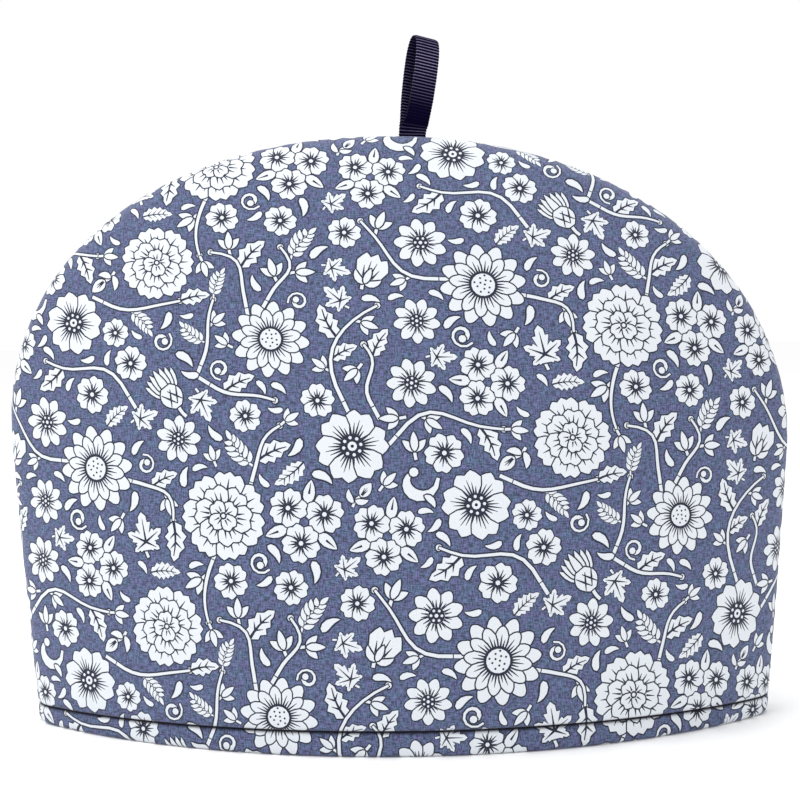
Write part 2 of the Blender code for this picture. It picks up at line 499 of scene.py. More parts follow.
FLOWERS = {
    Kind.ASTER: Flower(
        rings=(
            PetalRing(count=12, start=9.5, end=17.8, width=5.8, foot=0.8),
            PetalRing(count=12, start=5, end=13.8, width=5.2, foot=0.6, turn=math.pi / 12,
                      strokes=(3.4, 5.2, 3.4), strokes_start=5.4, spread=0.34),
        ),
        eye=(Spots(Ink.DARK, 6.0, 18), Spots(Ink.WHITE, 4.9, 16)),
        seeds=12,
    ),
    Kind.ANEMONE: Flower(
        rings=(
            PetalRing(count=6, start=3.6, end=14.8, width=12.4, lobes=2, depth=0.38,
                      strokes=(3.4, 5.2, 6.6, 5.2, 3.4), strokes_start=4.4, spread=0.72),
        ),
        eye=(Spots(Ink.DARK, 4.9, 16), Spots(Ink.WHITE, 0.72, 6, count=8, out=3.5),
             Spots(Ink.WHITE, 1.9, 10), Spots(Ink.DARK, 0.75, 6)),
    ),
    Kind.PEONY: Flower(
        rings=(
            PetalRing(count=7, start=8, end=18.0, width=13.6, lobes=3, depth=0.36, foot=0.6,
                      strokes=(2.6, 4.2, 2.6), strokes_start=11.0, spread=0.5),
            PetalRing(count=6, start=3.4, end=12.4, width=10.8, lobes=2, depth=0.34, foot=0.5,
                      turn=0.4, strokes=(3.2, 4.0, 3.2), strokes_start=6.0, spread=0.5),
            PetalRing(count=4, start=0.8, end=6.6, width=6.6, lobes=2, foot=0.5, turn=0.2,
                      strokes=(2.4, 2.4), strokes_start=1.9, spread=0.5, stroke_width=0.8),
        ),
        eye=(Spots(Ink.DARK, 1.6, 9), Spots(Ink.WHITE, 0.85, 7)),
    ),
    Kind.PRIMROSE: Flower(
        rings=(
            PetalRing(count=5, start=1.4, end=7.8, width=7.2, lobes=2, depth=0.34, line=0.52,
                      strokes=(2.4, 3.4, 2.4), strokes_start=1.9, spread=0.66, stroke_width=0.85),
        ),
        eye=(Spots(Ink.DARK, 2.0, 9), Spots(Ink.WHITE, 0.95, 7)),
    ),
    Kind.DAISY: Flower(
        rings=(
            PetalRing(count=9, start=2.8, end=10.2, width=4.9, foot=0.5, line=0.52,
                      strokes=(2.6, 2.6), strokes_start=3.2, spread=0.26, stroke_width=0.8),
        ),
        eye=(Spots(Ink.DARK, 3.2, 12), Spots(Ink.WHITE, 0.56, 5, count=6, out=2.0),
             Spots(Ink.WHITE, 0.75, 6)),
    ),
}


def bell() -> Motif:
    """Draws a bell flower on a short stalk with three leaves.

    Returns:
        Its shapes.
    """
    cup = inked(petal(3, 15.4, 12.5, lobes=3, depth=0.42, foot=0.24))
    cup += ticks(5.4, (4.5, 6.5, 6.5, 4.5), 0.62)
    leaves: Motif = []
    for bend, turn in ((0.16, 0.95), (-0.16, -0.95), (0.0, 0.0)):
        leaves += moved(inked(blade(6.4, 2.4, bend)), (2.6, 0), turn)
    return moved(inked(stalk(5, 0.1, 4, 0.6)) + cup + leaves, (-7.5, 0))


def thistle() -> Motif:
    """Draws a thistle head: a scaled cup with a fan of fringe.

    Returns:
        Its shapes.
    """
    fringe: Motif = []
    for k in (-3, 3, -2, 2, -1, 1, 0):
        fringe += moved(inked(blade(13.4 - 0.4 * abs(k), 3.2, 0.03 * k)), (5.0, 0), 0.21 * k)
    cup = inked(ribbon_of(bent(9.6, 0, 7), 4.9 * np.sin(np.linspace(0.25, 2.75, 7)) ** 0.8))
    scales: Motif = []
    for lean in (-0.55, 0.55):
        for shift in (-2.0, 1.2):
            stroke = ribbon_of(bent(7.6, 0, 3), np.array([0.18, 0.42, 0.18]))
            scales += moved(dark(stroke), (1.3, shift - 1.6 * np.sign(lean)), lean)
    foot = moved(inked(stalk(6.0, 0.08, 4, 0.7)), (-5.2, 0))
    return moved(foot + fringe + cup + scales, (-7, 0))


def leaf(length: float = 23.0, width: float = 12.5, teeth: int = 6) -> Motif:
    """Draws a toothed leaf with its veins, growing from the origin along x.

    Args:
        length: Its length.
        width: Its greatest width.
        teeth: How many teeth it has on each side.

    Returns:
        Its shapes.
    """
    steps, bend = 2 * teeth + 1, 0.06
    t = np.linspace(0, 1, steps)
    edge = np.where(np.arange(steps) % 2, 1.0, 0.66)
    half = width / 2 * np.sin(math.pi * t**0.75) ** 0.85 * edge
    made = inked(ribbon_of(bent(length, bend, steps), half))
    made += dark(ribbon_of(bent(length * 0.86, bend, 5), np.linspace(0.6, 0.2, 5)))
    for k in range(1, teeth - 1):
        x = length * (k + 0.1) / teeth
        y = 4 * bend * x * (1 - x / length)
        vein = ticks(0.0, (width * 0.36,), width=0.9)
        made += moved(vein, (x, y), 0.85) + moved(vein, (x, y), -0.75)
    return made


def frond() -> Motif:
    """Draws a fern frond, growing from the origin along x.

    Returns:
        Its shapes.
    """
    length, bend = 23, 0.09
    made = inked(ribbon_of(bent(length, bend, 7), np.linspace(0.7, 0.3, 7)))
    for k in range(5):
        x = 4.4 + 3.7 * k
        y = 4 * bend * x * (1 - x / length)
        reach = 7.2 * math.sin(math.pi * (0.32 + 0.12 * k)) + 0.8
        for side in (-1, 1):
            made += moved(inked(blade(reach, 2.9, 0.1 * side)), (x, y), side * 0.8)
    return made + moved(inked(blade(6.4, 2.9)), (21.0, 0.8), -0.25)


def rose_leaf() -> Motif:
    """Draws five small leaves on one stalk.

    Returns:
        Their shapes.
    """
    made = inked(stalk(12, 0.06, 5, 0.65))
    leaflet = inked(blade(10.0, 5.6)) + ticks(0.0, (7.6,))
    for x, turn in ((4.0, 1.05), (4.0, -1.05), (9.5, 0.8), (9.5, -0.8), (11.5, 0.0)):
        made += moved(leaflet, (x, 0.6), turn)
    return made


def berries() -> Motif:
    """Draws a spray of berries on fine stalks, growing from the origin along x.

    Returns:
        Its shapes.
    """
    made: Motif = []
    fan = ((-0.95, 7.5), (-0.5, 11.0), (-0.08, 9.0), (0.16, 14.5), (0.48, 10.4), (0.98, 7.9))
    for turn, reach in fan:
        berry = inked(disc(2.5, (reach + 1.6, 0), 12)) + dark(disc(0.7, (reach + 2.3, 0.4), 6))
        fine = inked(stalk(reach, 0.08 * np.sign(turn), 4, 0.48), 0.45)
        made += moved(fine + berry, (2.2, 0), turn)
    return made + inked(stalk(3.4, 0, 2, 0.7))


def tendril() -> Motif:
    """Draws a curling tendril that ends in a drop.

    Returns:
        Its shapes.
    """
    t = np.linspace(0, 1, 14)
    spine = curled(5.2, 5.2 * (1 - 0.72 * t), math.pi * (1.0 - 2.3 * t))
    made = inked(ribbon_of(spine, 0.45 + 0.75 * t**2))
    return made + inked(disc(1.6, tuple(spine[-1]), 8))


def bud() -> Motif:
    """Draws a closed bud on a bent stalk with two leaves.

    Returns:
        Its shapes.
    """
    leaves = moved(inked(blade(7.0, 2.9, 0.15)), (2.0, 1.0), 1.0)
    leaves += moved(inked(blade(6.5, 2.9, -0.15)), (3.4, 1.0), -0.9)
    head = moved(inked(blade(8.4, 5.4)) + ticks(0.8, (4.0, 4.6, 4.0), 0.4), (6.4, 0))
    return inked(stalk(7, 0.12, 4, 0.65)) + leaves + head


def sprig() -> Motif:
    """Draws three plain leaves and a stalk.

    Returns:
        Their shapes.
    """
    made = inked(stalk(5, 0.08, 3, 0.6))
    for turn, reach in ((0.8, 6.4), (-0.8, 6.4), (0.0, 7.8)):
        made += moved(inked(blade(reach, 3.0)), (3.4, 0.4), turn)
    return made


def drop() -> Motif:
    """A curved drop."""
    return inked(blade(7.2, 2.7, bend=0.16, belly=0.6))


def ivy() -> Motif:
    """Draws a leaf cut into five pointed lobes, with a vein in each.

    Returns:
        Its shapes.
    """
    heart, back = 4.0, 2.62  # how deep the cuts reach, and the angle of the one at its stalk
    lobes = ((-2.1, 7.0), (-1.05, 9.4), (0.0, 12.6), (1.05, 9.4), (2.1, 7.0))
    steps = ((-0.52, 0.0), (-0.42, 0.7), (-0.24, 0.66), (-0.17, 0.86), (0.0, 1.0),
             (0.17, 0.86), (0.24, 0.66), (0.42, 0.7))
    edge = [(middle + aside, max(heart, reach * share))
            for middle, reach in lobes for aside, share in steps]
    edge = [(reach * math.cos(a), reach * math.sin(a)) for a, reach in [*edge, (back, heart)]]
    made = inked(stalk(7.0, 0.1, 4, 0.6)) + moved(inked(np.array(edge)), (6.6, 0))
    for middle, reach in lobes:
        made += moved(ticks(0.0, (0.78 * reach,), width=1.1), (6.6, 0), middle)
    return made


def scroll() -> Motif:
    """Draws a swelling stem that curls over and ends in a knob.

    Returns:
        Its shapes.
    """
    t = np.linspace(0, 1, 12)
    spine = curled(7.4, 7.4 - 4.0 * t, math.pi * (1.0 - 1.35 * t**0.9))
    made = inked(ribbon_of(spine, 0.6 + 1.5 * np.sin(math.pi * t**0.8) ** 2))
    made += moved(inked(blade(6.0, 2.4, 0.14)), tuple(spine[3]), 2.2)
    return made + inked(disc(1.75, tuple(spine[-1]), 9))


def posy() -> Motif:
    """Draws three small flowers that touch, with leaves behind them.

    Returns:
        Their shapes.
    """
    made = in_ring(moved(inked(blade(9.5, 4.6)) + ticks(4.0, (4.4,)), (7.0, 0)), 3, 0.52)
    for k in range(3):
        turn, out = math.pi / 2 + k * math.tau / 3, 8.4
        made += moved(Kind.PRIMROSE.draw(), (out * math.cos(turn), out * math.sin(turn)), turn)
    return made


SPRAYS = {
    Kind.BELL: bell,
    Kind.THISTLE: thistle,
    Kind.LEAF: leaf,
    Kind.FROND: frond,
    Kind.ROSE_LEAF: rose_leaf,
    Kind.BERRIES: berries,
    Kind.TENDRIL: tendril,
    Kind.BUD: bud,
    Kind.SPRIG: sprig,
    Kind.DROP: drop,
    Kind.IVY: ivy,
    Kind.SCROLL: scroll,
    Kind.POSY: posy,
}


# The print: its repeat
# ---------------------


@dataclass(frozen=True)
class Bloom:
    """A large flower at its place in the repeat."""

    kind: Kind
    across: float
    up: float
    turn: float
    size: float = 1.0


@dataclass(frozen=True)
class Sown:
    """A motif that is set down wherever it fits."""

    kind: Kind
    most: int
    tries: int = 900
    size: float = 1.0
    vary: float = 0.1  # how far its size varies, as a share


@dataclass
class FloralPrint:
    """A generic printed floral, drawn on one repeat and laid in a half drop.

    The large flowers stand where the table says, stems grow out of them, and the rest is
    set wherever it fits, from large to small, by a seeded draw. All in millimetres.
    """

    width: float = 168.0
    height: float = 152.0
    cell: float = 0.5
    seed: int = 11
    blooms: tuple[Bloom, ...] = (
        Bloom(Kind.ASTER, across=26.0, up=30.0, turn=0.1),
        Bloom(Kind.PEONY, across=84.0, up=12.0, turn=0.5),
        Bloom(Kind.ANEMONE, across=137.0, up=40.0, turn=0.2),
        Bloom(Kind.THISTLE, across=62.0, up=62.0, turn=2.2),
        Bloom(Kind.ANEMONE, across=18.0, up=92.0, turn=0.9, size=0.95),
        Bloom(Kind.ASTER, across=106.0, up=84.0, turn=0.4, size=0.9),
        Bloom(Kind.PEONY, across=58.0, up=118.0, turn=0.0, size=0.92),
        Bloom(Kind.BELL, across=148.0, up=112.0, turn=1.1, size=1.1),
    )
    flowers: tuple[Sown, ...] = (
        Sown(Kind.POSY, most=3, vary=0.06),
        Sown(Kind.DAISY, most=4, tries=400, vary=0.08),
        Sown(Kind.PRIMROSE, most=8, tries=700, size=0.95),
    )
    fillers: tuple[Sown, ...] = (
        Sown(Kind.IVY, most=7, size=1.05),
        Sown(Kind.LEAF, most=3, tries=300),
        Sown(Kind.BELL, most=3, tries=260, size=0.95),
        Sown(Kind.BERRIES, most=4, tries=500, size=0.95),
        Sown(Kind.SCROLL, most=10, vary=0.15),
        Sown(Kind.ROSE_LEAF, most=3, tries=500, size=0.9),
        Sown(Kind.FROND, most=3, tries=400, size=0.85, vary=0.12),
        Sown(Kind.IVY, most=9, size=0.72, vary=0.12),
        Sown(Kind.LEAF, most=8, tries=600, size=0.66, vary=0.12),
        Sown(Kind.PRIMROSE, most=4, tries=500, size=0.8),
        Sown(Kind.BUD, most=9, size=0.9, vary=0.12),
        Sown(Kind.TENDRIL, most=6, tries=500, size=0.9, vary=0.15),
        Sown(Kind.SPRIG, most=26, tries=1500, size=0.95, vary=0.15),
        Sown(Kind.DROP, most=64, tries=1600, size=1.05, vary=0.22),
    )
    stems_each: int = 3
    stem_tries: int = 60
    stem_steps: int = 10
    stem_length: Pair = (24, 44)
    stem_bend: float = 0.26
    stem_swing: float = 0.09
    stem_swerve: float = 0.7  # how far a stem may turn from straight out, in radians
    stem_half: Pair = (0.74, 0.46)  # half its width, at its foot and at its tip
    stem_start: float = 18.4  # from the middle of a flower of size 1
    root_length: float = 6.0  # of the stem's foot, which runs under the flower
    knob: float = 1.3
    leaf_steps: tuple[int, ...] = (3, 5, 7, 2, 8)  # the places of leaves along a stem
    leaf_angle: Pair = (0.7, 1.1)
    leaf_size: Pair = (0.8, 1.1)
    leaf_root: float = 0.3
    gap: float = 0.9
    used: Points = field(init=False)
    shapes: Motif = field(init=False, default_factory=list)

    def __post_init__(self) -> None:
        """Draws the repeat."""
        self.used = np.zeros((round(self.height / self.cell), round(self.width / self.cell)), bool)
        self.draw = np.random.default_rng(self.seed)
        reach = math.ceil(self.gap / self.cell)
        steps = np.arange(-reach, reach + 1) * self.cell
        spots = np.stack(np.meshgrid(steps, steps), -1).reshape(-1, 2)
        self.halo = spots[np.linalg.norm(spots, axis=1) <= self.gap + 0.1]
        for row in self.blooms:
            self.claim(moved(row.kind.draw(), (row.across, row.up), row.turn, row.size))
        self.fill(self.flowers)
        self.grow_stems()
        self.fill(self.fillers)

    def cells(self, points: Points) -> tuple[Points, Points]:
        """Finds the cells of the repeat that points fall on, in a half drop.

        Args:
            points: Points of the cloth.

        Returns:
            The cells' rows and their columns.
        """
        block = np.floor(points[:, 0] / self.width)
        across = points[:, 0] - block * self.width
        up = (points[:, 1] - block * self.height / 2) % self.height
        rows = (up / self.cell).astype(int) % self.used.shape[0]
        return rows, (across / self.cell).astype(int) % self.used.shape[1]

    def fits(self, edge: Points) -> bool:
        """Whether a motif with this edge touches nothing drawn already."""
        return not self.used[self.cells(edge)].any()

    def claim(self, motif: Motif) -> None:
        """Draws a motif and keeps its place, with a gap round it.

        Args:
            motif: The motif in its place.
        """
        self.shapes += motif
        edge = edge_of(motif)
        self.used[self.cells((edge[:, None] + self.halo).reshape(-1, 2))] = True
        for shape in motif:
            if shape.ink is Ink.WHITE:
                low, high = shape.outline.min(0), shape.outline.max(0)
                grid = np.meshgrid(*(np.arange(a, b, self.cell) for a, b in zip(low, high)))
                spots = np.stack(grid, -1).reshape(-1, 2)
                self.used[self.cells(spots[within(spots, shape.outline)])] = True

    def grow_stems(self) -> None:
        """Grows bent stems out of the large flowers, with leaves on both sides of them."""
        kinds = (leaf(length=15, width=9, teeth=4), moved(frond(), size=0.66), sprig())
        half = np.linspace(*self.stem_half, self.stem_steps)
        for row in self.blooms:
            left = self.stems_each
            for _ in range(self.stem_tries):
                heading = self.draw.uniform(0, math.tau)
                length = self.draw.uniform(*self.stem_length)
                bend = self.draw.uniform(-self.stem_bend, self.stem_bend)
                swing = self.draw.uniform(-self.stem_swing, self.stem_swing)
                turn = heading + self.draw.uniform(-self.stem_swerve, self.stem_swerve)
                spine = bent(length, bend, self.stem_steps, swing)
                out = np.array([math.cos(heading), math.sin(heading)])
                start = out * self.stem_start * row.size + (row.across, row.up)
                stem = moved(inked(ribbon_of(spine, half)), start, turn)
                if left and self.fits(edge_of(stem)):
                    back = self.root_length * (spine[0] - spine[1]) / np.linalg.norm(spine[1])
                    root = ribbon_of(np.array([back, -0.1 * back]), np.full(2, half[0]))
                    self.shapes[:0] = moved(inked(root), start, turn)
                    self.claim_stem(stem, Shape(Ink.WHITE, spine).moved(start, turn).outline, kinds)
                    left -= 1

    def claim_stem(self, stem: Motif, spine: Points, kinds: tuple[Motif, ...]) -> None:
        """Draws a stem, then hangs leaves on it wherever they fit.

        Args:
            stem: The stem in its place.
            spine: Its middle.
            kinds: What may grow on it.
        """
        last = len(spine) - 1
        self.shapes += stem + moved(inked(disc(self.knob, sides=9)), spine[last])
        for k in (last, *self.leaf_steps):
            along = spine[min(k + 1, last)] - spine[k - 1]
            way = math.atan2(along[1], along[0])
            for side in (1, -1) if k < last else (0,):
                kind = kinds[int(self.draw.integers(len(kinds)))]
                angle = way + side * self.draw.uniform(*self.leaf_angle)
                root = spine[k] + self.leaf_root * np.array([math.cos(angle), math.sin(angle)])
                motif = moved(kind, root, angle, self.draw.uniform(*self.leaf_size))
                if self.fits(edge_of(motif)):
                    self.claim(motif)
        self.claim(stem)

    def fill(self, rows: tuple[Sown, ...]) -> None:
        """Sets motifs down wherever they fit.

        Args:
            rows: What to set down, from large to small.
        """
        for row in rows:
            motif = row.kind.draw()
            edge = Shape(Ink.WHITE, edge_of(motif))
            left = row.most
            for _ in range(row.tries):
                at = self.draw.uniform((0, 0), (self.width, self.height))
                turn = self.draw.uniform(0, math.tau)
                size = row.size * (1 + row.vary * self.draw.uniform(-1, 1))
                if left and self.fits(edge.moved(at, turn, size).outline):
                    self.claim(moved(motif, at, turn, size))
                    left -= 1


# The form
# --------


@dataclass
class CosyForm:
    """The shape of the padded panels, from flat cloth to its place in space.

    Flat cloth is given by x and z seen from the front, in metres. Near the seam its distance
    from the cut edge is rolled up into the padded edge.
    """

    crest_height: float = 0.2535
    widest_height: float = 0.123
    half_width: float = 0.170
    hem_half_width: float = 0.161
    dome_power: float = 2.12
    flare_power: float = 1.1
    crest_lean: float = -0.0067
    foot: float = -0.02  # where the ridge is drawn from, below the hem
    side_steps: int = 180
    dome_steps: int = 720
    seam_gap: float = 0.0002
    roll_radius: float = 0.007
    roll_start: float = math.radians(-30)
    bulge: float = 0.058
    bulge_power: float = 0.88
    rise_power: float = 2.4
    close_power: float = 0.85
    wall: float = 0.005
    fold_radius: float = 0.0025  # of the cloth where it turns under at the hem
    crease_height: float = 0.0102  # of the stitched line in the middle of a panel
    crease_drop: float = 0.0022  # how much lower it is at the side seams
    crease_depth: float = 0.0016
    crease_width: float = 0.0008
    crease_power: float = 1.6
    crease_start: float = 0.001  # from the cut edge
    crease_run: float = 0.003
    pad_rise: float = 0.0014  # the padding's fullness above the stitched line
    pad_run: float = 0.0022
    inner_run: float = 0.03
    pucker_depth: float = 0.00035  # of the small puckers along the seam
    pucker_in: float = 0.0035  # how far in from the cut edge they are deepest
    pucker_run: float = 0.006
    pucker_pitch: float = 0.0095
    pucker_drift: tuple[Pair, Pair] = ((1.6, 0.061), (0.9, 0.027))  # of the pitch, and its length
    pucker_strength: Pair = (0.65, 0.35)  # its mean, and how far it swings
    pucker_swing: float = 0.044
    ribbon_x: float = 0.0048
    notch_depth: float = 0.0015
    notch_flat: float = 0.0066
    notch_end: float = 0.0100
    waves: tuple[dict[str, float], ...] = (
        {"height": 0.0007, "across": 0.170, "up": 0.210, "phase": 0.6},
        {"height": 0.0005, "across": 0.095, "up": -0.150, "phase": 2.1},
        {"height": 0.0003, "across": 0.061, "up": 0.083, "phase": 4.4},
    )
    back_phase: float = 1.9
    wave_start: float = 0.012
    wave_run: float = 0.05
    facing_step: float = 0.0003
    table_margin: float = 0.004  # how far the measured cloth goes past the panel
    table_reach: Pair = (0.20, 0.25)  # to each side, laid flat and along the cloth
    table_size: tuple[int, int, int] = (132, 401, 501)  # rows, places in a row, marks on the cloth

    def __post_init__(self) -> None:
        """Works out the ridge, the cut edge and the measures of the flat cloth."""
        self.roll_arc = self.roll_radius * (math.pi / 2 - self.roll_start)
        self.margin = self.roll_arc - self.roll_radius
        rise = np.linspace(self.foot, self.widest_height, self.side_steps, endpoint=False)
        angles = np.linspace(0, math.pi, self.dome_steps)
        self.ridge = np.concatenate(
            [self.side_point(rise, 1.0), self.dome_point(angles), self.side_point(rise[::-1], -1.0)]
        )
        along = np.gradient(self.ridge, axis=0)
        self.normals = unit(np.stack([along[:, 1], -along[:, 0]], -1))
        self.cut_line = self.ridge + self.margin * self.normals
        self.cut_run = run_length(self.cut_line)
        self.tree = tree_of(self.cut_line)
        self.measure_cloth()

    def above(self, z: Points) -> Points:
        """How far up from the widest height to the crest each height is, as a share."""
        return np.clip((z - self.widest_height) / (self.crest_height - self.widest_height), 0, 1)

    def below(self, z: Points) -> Points:
        """How far down from the widest height to the hem each height is, as a share."""
        return np.clip((self.widest_height - z) / self.widest_height, 0, 1)

    def width_at(self, z: Points) -> Points:
        """Half the ridge's width at each height, from the hem to the crest."""
        dome = self.half_width * (1 - self.above(z) ** self.dome_power) ** (1 / self.dome_power)
        return dome - (self.half_width - self.hem_half_width) * self.below(z) ** self.flare_power

    def lean_at(self, z: Points) -> Points:
        """How far the middle of the dome stands to one side at each height."""
        return self.crest_lean * self.above(z)

    def dome_point(self, angle: Points) -> Points:
        """Finds points of the ridge above its widest height.

        Args:
            angle: The angle of each, from the right side.

        Returns:
            The points.
        """
        power = 2 / self.dome_power
        across = np.sign(np.cos(angle)) * np.abs(np.cos(angle)) ** power
        share = np.abs(np.sin(angle)) ** power
        z = self.widest_height + (self.crest_height - self.widest_height) * share
        return np.stack([self.half_width * across + self.lean_at(z), z], -1)

    def side_point(self, z: Points, side: float) -> Points:
        """Points of the ridge at or below its widest height, on one side."""
        return np.stack([side * self.width_at(z), z], -1)

    def bulge_at(self, x: Points, z: Points) -> Points:
        """Works out how far the padded cloth stands out past its rolled edge.

        Args:
            x: Places across the panel.
            z: Heights.

        Returns:
            The distance at each.
        """
        share = np.clip(np.abs(x - self.lean_at(z)) / np.maximum(self.width_at(z), HAIR), 0, 1)
        height = np.clip(z / self.crest_height, 0, 1)
        across = (1 - share**2) ** self.bulge_power
        return self.bulge * across * (1 - height**self.rise_power) ** self.close_power

    def to_seam(self, flat: Points) -> tuple[Points, Points, Points]:
        """Finds where points of the flat cloth are against its seam edge.

        Args:
            flat: Points of the flat cloth.

        Returns:
            The distance in from the edge, the edge's outward normal, and the place along it.
        """
        near = np.array([self.tree.find((x, z, 0))[1] for x, z in flat])
        best = np.full(len(flat), np.inf)
        normal, place = np.zeros((len(flat), 2)), np.zeros(len(flat))
        for shift in (-1, 0):
            first = np.clip(near + shift, 0, len(self.cut_line) - 2)
            start, span = self.cut_line[first], self.cut_line[first + 1] - self.cut_line[first]
            share = np.clip(((flat - start) * span).sum(1) / (span**2).sum(1), 0, 1)[:, None]
            offset = flat - start - share * span
            apart = np.linalg.norm(offset, axis=1)
            closer = apart < np.abs(best)
            blended = self.normals[first] * (1 - share) + self.normals[first + 1] * share
            apart = np.where((offset * blended).sum(1) > 0, -apart, apart)
            run = self.cut_run[first] + share[:, 0] * np.linalg.norm(span, axis=1)
            best = np.where(closer, apart, best)
            normal = np.where(closer[:, None], blended, normal)
            place = np.where(closer, run, place)
        return best, normal, place

    def crease_at(self, x: Points) -> Points:
        """The height of the stitched line above the hem."""
        return self.crease_height - self.crease_drop * np.clip(x / self.hem_half_width, -1, 1) ** 2

    def phase_of(self, side: Side) -> float:
        """What sets a panel's waves and puckers off from the other panel's."""
        return 0.0 if side is Side.FRONT else self.back_phase

    def relief(self, x: Points, z: Points, side: Side) -> Points:
        """Works out the soft waves, and the fullness above the stitched line.

        Args:
            x: Places across the panel.
            z: Heights.
            side: The panel.

        Returns:
            How far the cloth stands out at each.
        """
        phase = self.phase_of(side)
        wave = sum(
            w["height"] * np.sin(math.tau * (x / w["across"] + z / w["up"]) + w["phase"] + phase)
            for w in self.waves
        )
        wave = wave * np.clip((z - self.wave_start) / self.wave_run, 0, 1)
        over = np.clip(z - self.crease_at(x), 0, None)
        return wave + self.pad_rise * (1 - np.exp(-over / self.pad_run))

    def crease(self, x: Points, z: Points) -> Points:
        """The narrow dip along the stitched line."""
        over = (z - self.crease_at(x)) / self.crease_width
        return self.crease_depth * np.exp(-(np.abs(over) ** self.crease_power))

    def puckers(self, cloth: Points, place: Points, side: Side) -> Points:
        """Works out the small puckers along the sewn seam.

        Args:
            cloth: Distances in from the cut edge.
            place: Places along it.
            side: The panel.

        Returns:
            How far the cloth dips at each.
        """
        phase = self.phase_of(side)
        (far, slow), (near, quick) = self.pucker_drift
        drift = far * np.sin(math.tau * place / slow + phase)
        drift += near * np.sin(math.tau * place / quick)
        ripple = 0.5 + 0.5 * np.sin(math.tau * place / self.pucker_pitch + drift + phase)
        mean, swing = self.pucker_strength
        strength = mean + swing * np.sin(math.tau * place / self.pucker_swing + 2 * phase)
        shape = np.exp(-(((cloth - self.pucker_in) / self.pucker_run) ** 2))
        return self.pucker_depth * ripple * strength * shape

    def notch(self, x: Points, z: Points, cloth: Points) -> Points:
        """Works out how the panels part to let the ribbon through at the crest.

        Args:
            x: Places across the panel.
            z: Heights.
            cloth: Distances in from the cut edge.

        Returns:
            How far the panel stands back at each.
        """
        beside = (self.notch_end - np.abs(x - self.ribbon_x)) / (self.notch_end - self.notch_flat)
        depth = self.notch_depth * np.clip(beside, 0, 1) * np.clip(1 - cloth / self.roll_arc, 0, 1)
        return np.where(z > self.crest_height / 2, depth, 0.0)

    def place(self, flat: Points, side: Side) -> Points:
        """Puts points of the flat cloth in space.

        Args:
            flat: Points of the flat cloth.
            side: The panel they are on.

        Returns:
            Points on the panel's outer face, before the hem is turned under.
        """
        cloth, normal, place = self.to_seam(flat)
        turn = np.minimum(self.roll_start + cloth / self.roll_radius, math.pi / 2)
        rolled = self.margin + self.roll_radius * (1 - np.cos(turn)) - cloth
        edge = np.clip((cloth - self.crease_start) / self.crease_run, 0, 1)
        dip = self.puckers(cloth, place, side) + edge * self.crease(flat[:, 0], flat[:, 1])
        rolled = np.where(cloth < self.roll_arc, rolled, 0.0) + dip * np.cos(turn)
        placed = flat - normal * rolled[:, None]
        x, z = placed[:, 0], np.where(flat[:, 1] < HAIR, 0.0, placed[:, 1])
        roll = self.roll_radius * (np.sin(turn) - math.sin(self.roll_start))
        bulge = np.where(turn > 0, self.bulge_at(x, z), 0.0)
        notch = self.notch(x, z, cloth)
        inner = np.clip((cloth - self.roll_arc / 3) / self.inner_run, 0, 1)
        relief = inner * self.relief(x, z, side) - dip * np.clip(np.sin(turn), 0, 1)
        depth = self.seam_gap / 2 + roll + bulge + notch + relief
        return np.stack([x, side.value * depth, z], -1)

    def facing(self, flat: Points, side: Side) -> Points:
        """Finds the panel's outward normals.

        Args:
            flat: Points of the flat cloth.
            side: The panel they are on.

        Returns:
            The normal at each.
        """
        step = self.facing_step
        across, up = np.array([step, 0]), np.array([0, step])
        down = 0.9 * up  # a little less, so that a point at the hem stays above it
        base = flat + up * (flat[:, 1:] < step)
        along = self.place(base + across, side) - self.place(base - across, side)
        rise = self.place(base + up, side) - self.place(base - down, side)
        return unit(np.cross(along, rise) * -side.value)

    def fold(self, flat: Points) -> tuple[Points, Points]:
        """How far the hem turns under at each point, as an angle, and how much lower that is."""
        turn = np.clip(flat[:, 1] / self.fold_radius, 0, 1) * math.pi / 2
        return turn, self.fold_radius * (np.cos(turn) + turn / (math.pi / 2) - 1)

    def outer(self, flat: Points, side: Side) -> Points:
        """Shapes the panel's outer face, with its hem turned under.

        Args:
            flat: Points of the flat cloth.
            side: The panel they are on.

        Returns:
            The points in space.
        """
        points, facing = self.place(flat, side), self.facing(flat, side)
        facing[:, 2] = 0
        turn, lower = self.fold(flat)
        points -= unit(facing) * (self.fold_radius * (1 - np.sin(turn)))[:, None]
        points[:, 2] -= lower
        return points

    def inner(self, flat: Points, side: Side) -> Points:
        """Shapes the panel's inner face, a wall's thickness inside, closing up to the seam.

        Args:
            flat: Points of the flat cloth.
            side: The panel they are on.

        Returns:
            The points in space.
        """
        points, facing = self.place(flat, side), self.facing(flat, side)
        turn, lower = self.fold(flat)
        level = facing.copy()
        level[:, 2] = 0
        inwards = np.where((turn < math.pi / 2)[:, None], unit(level), facing)
        thick = self.wall - self.fold_radius * (1 - np.sin(turn))
        made = points - inwards * thick[:, None]
        made[:, 2] -= lower
        ease = np.clip(self.to_seam(flat)[0] / (self.roll_arc / 2), 0, 1)
        seated = side.value * self.seam_gap / 2
        made[:, 1] = seated + (made[:, 1] - seated) * ease
        made[:, 2] = np.maximum(made[:, 2], 0)
        return made

    def outline(self, spacing: float) -> Points:
        """Lays out the flat panel's cut edge.

        Args:
            spacing: How far apart its points are along the seam.

        Returns:
            The points, over the crest from the right foot and then along the hem.
        """
        x, z = self.cut_line.T
        rising, falling = slice(None, self.side_steps), slice(None, -self.side_steps - 1, -1)
        right, left = ([[np.interp(0, z[way], x[way]), 0.0]] for way in (rising, falling))
        seam = evenly(np.concatenate([right, self.cut_line[z > HAIR], left]), spacing)
        hem = evenly(np.concatenate([left, right]), 2 * spacing)
        return np.concatenate([seam, hem[1:-1]])

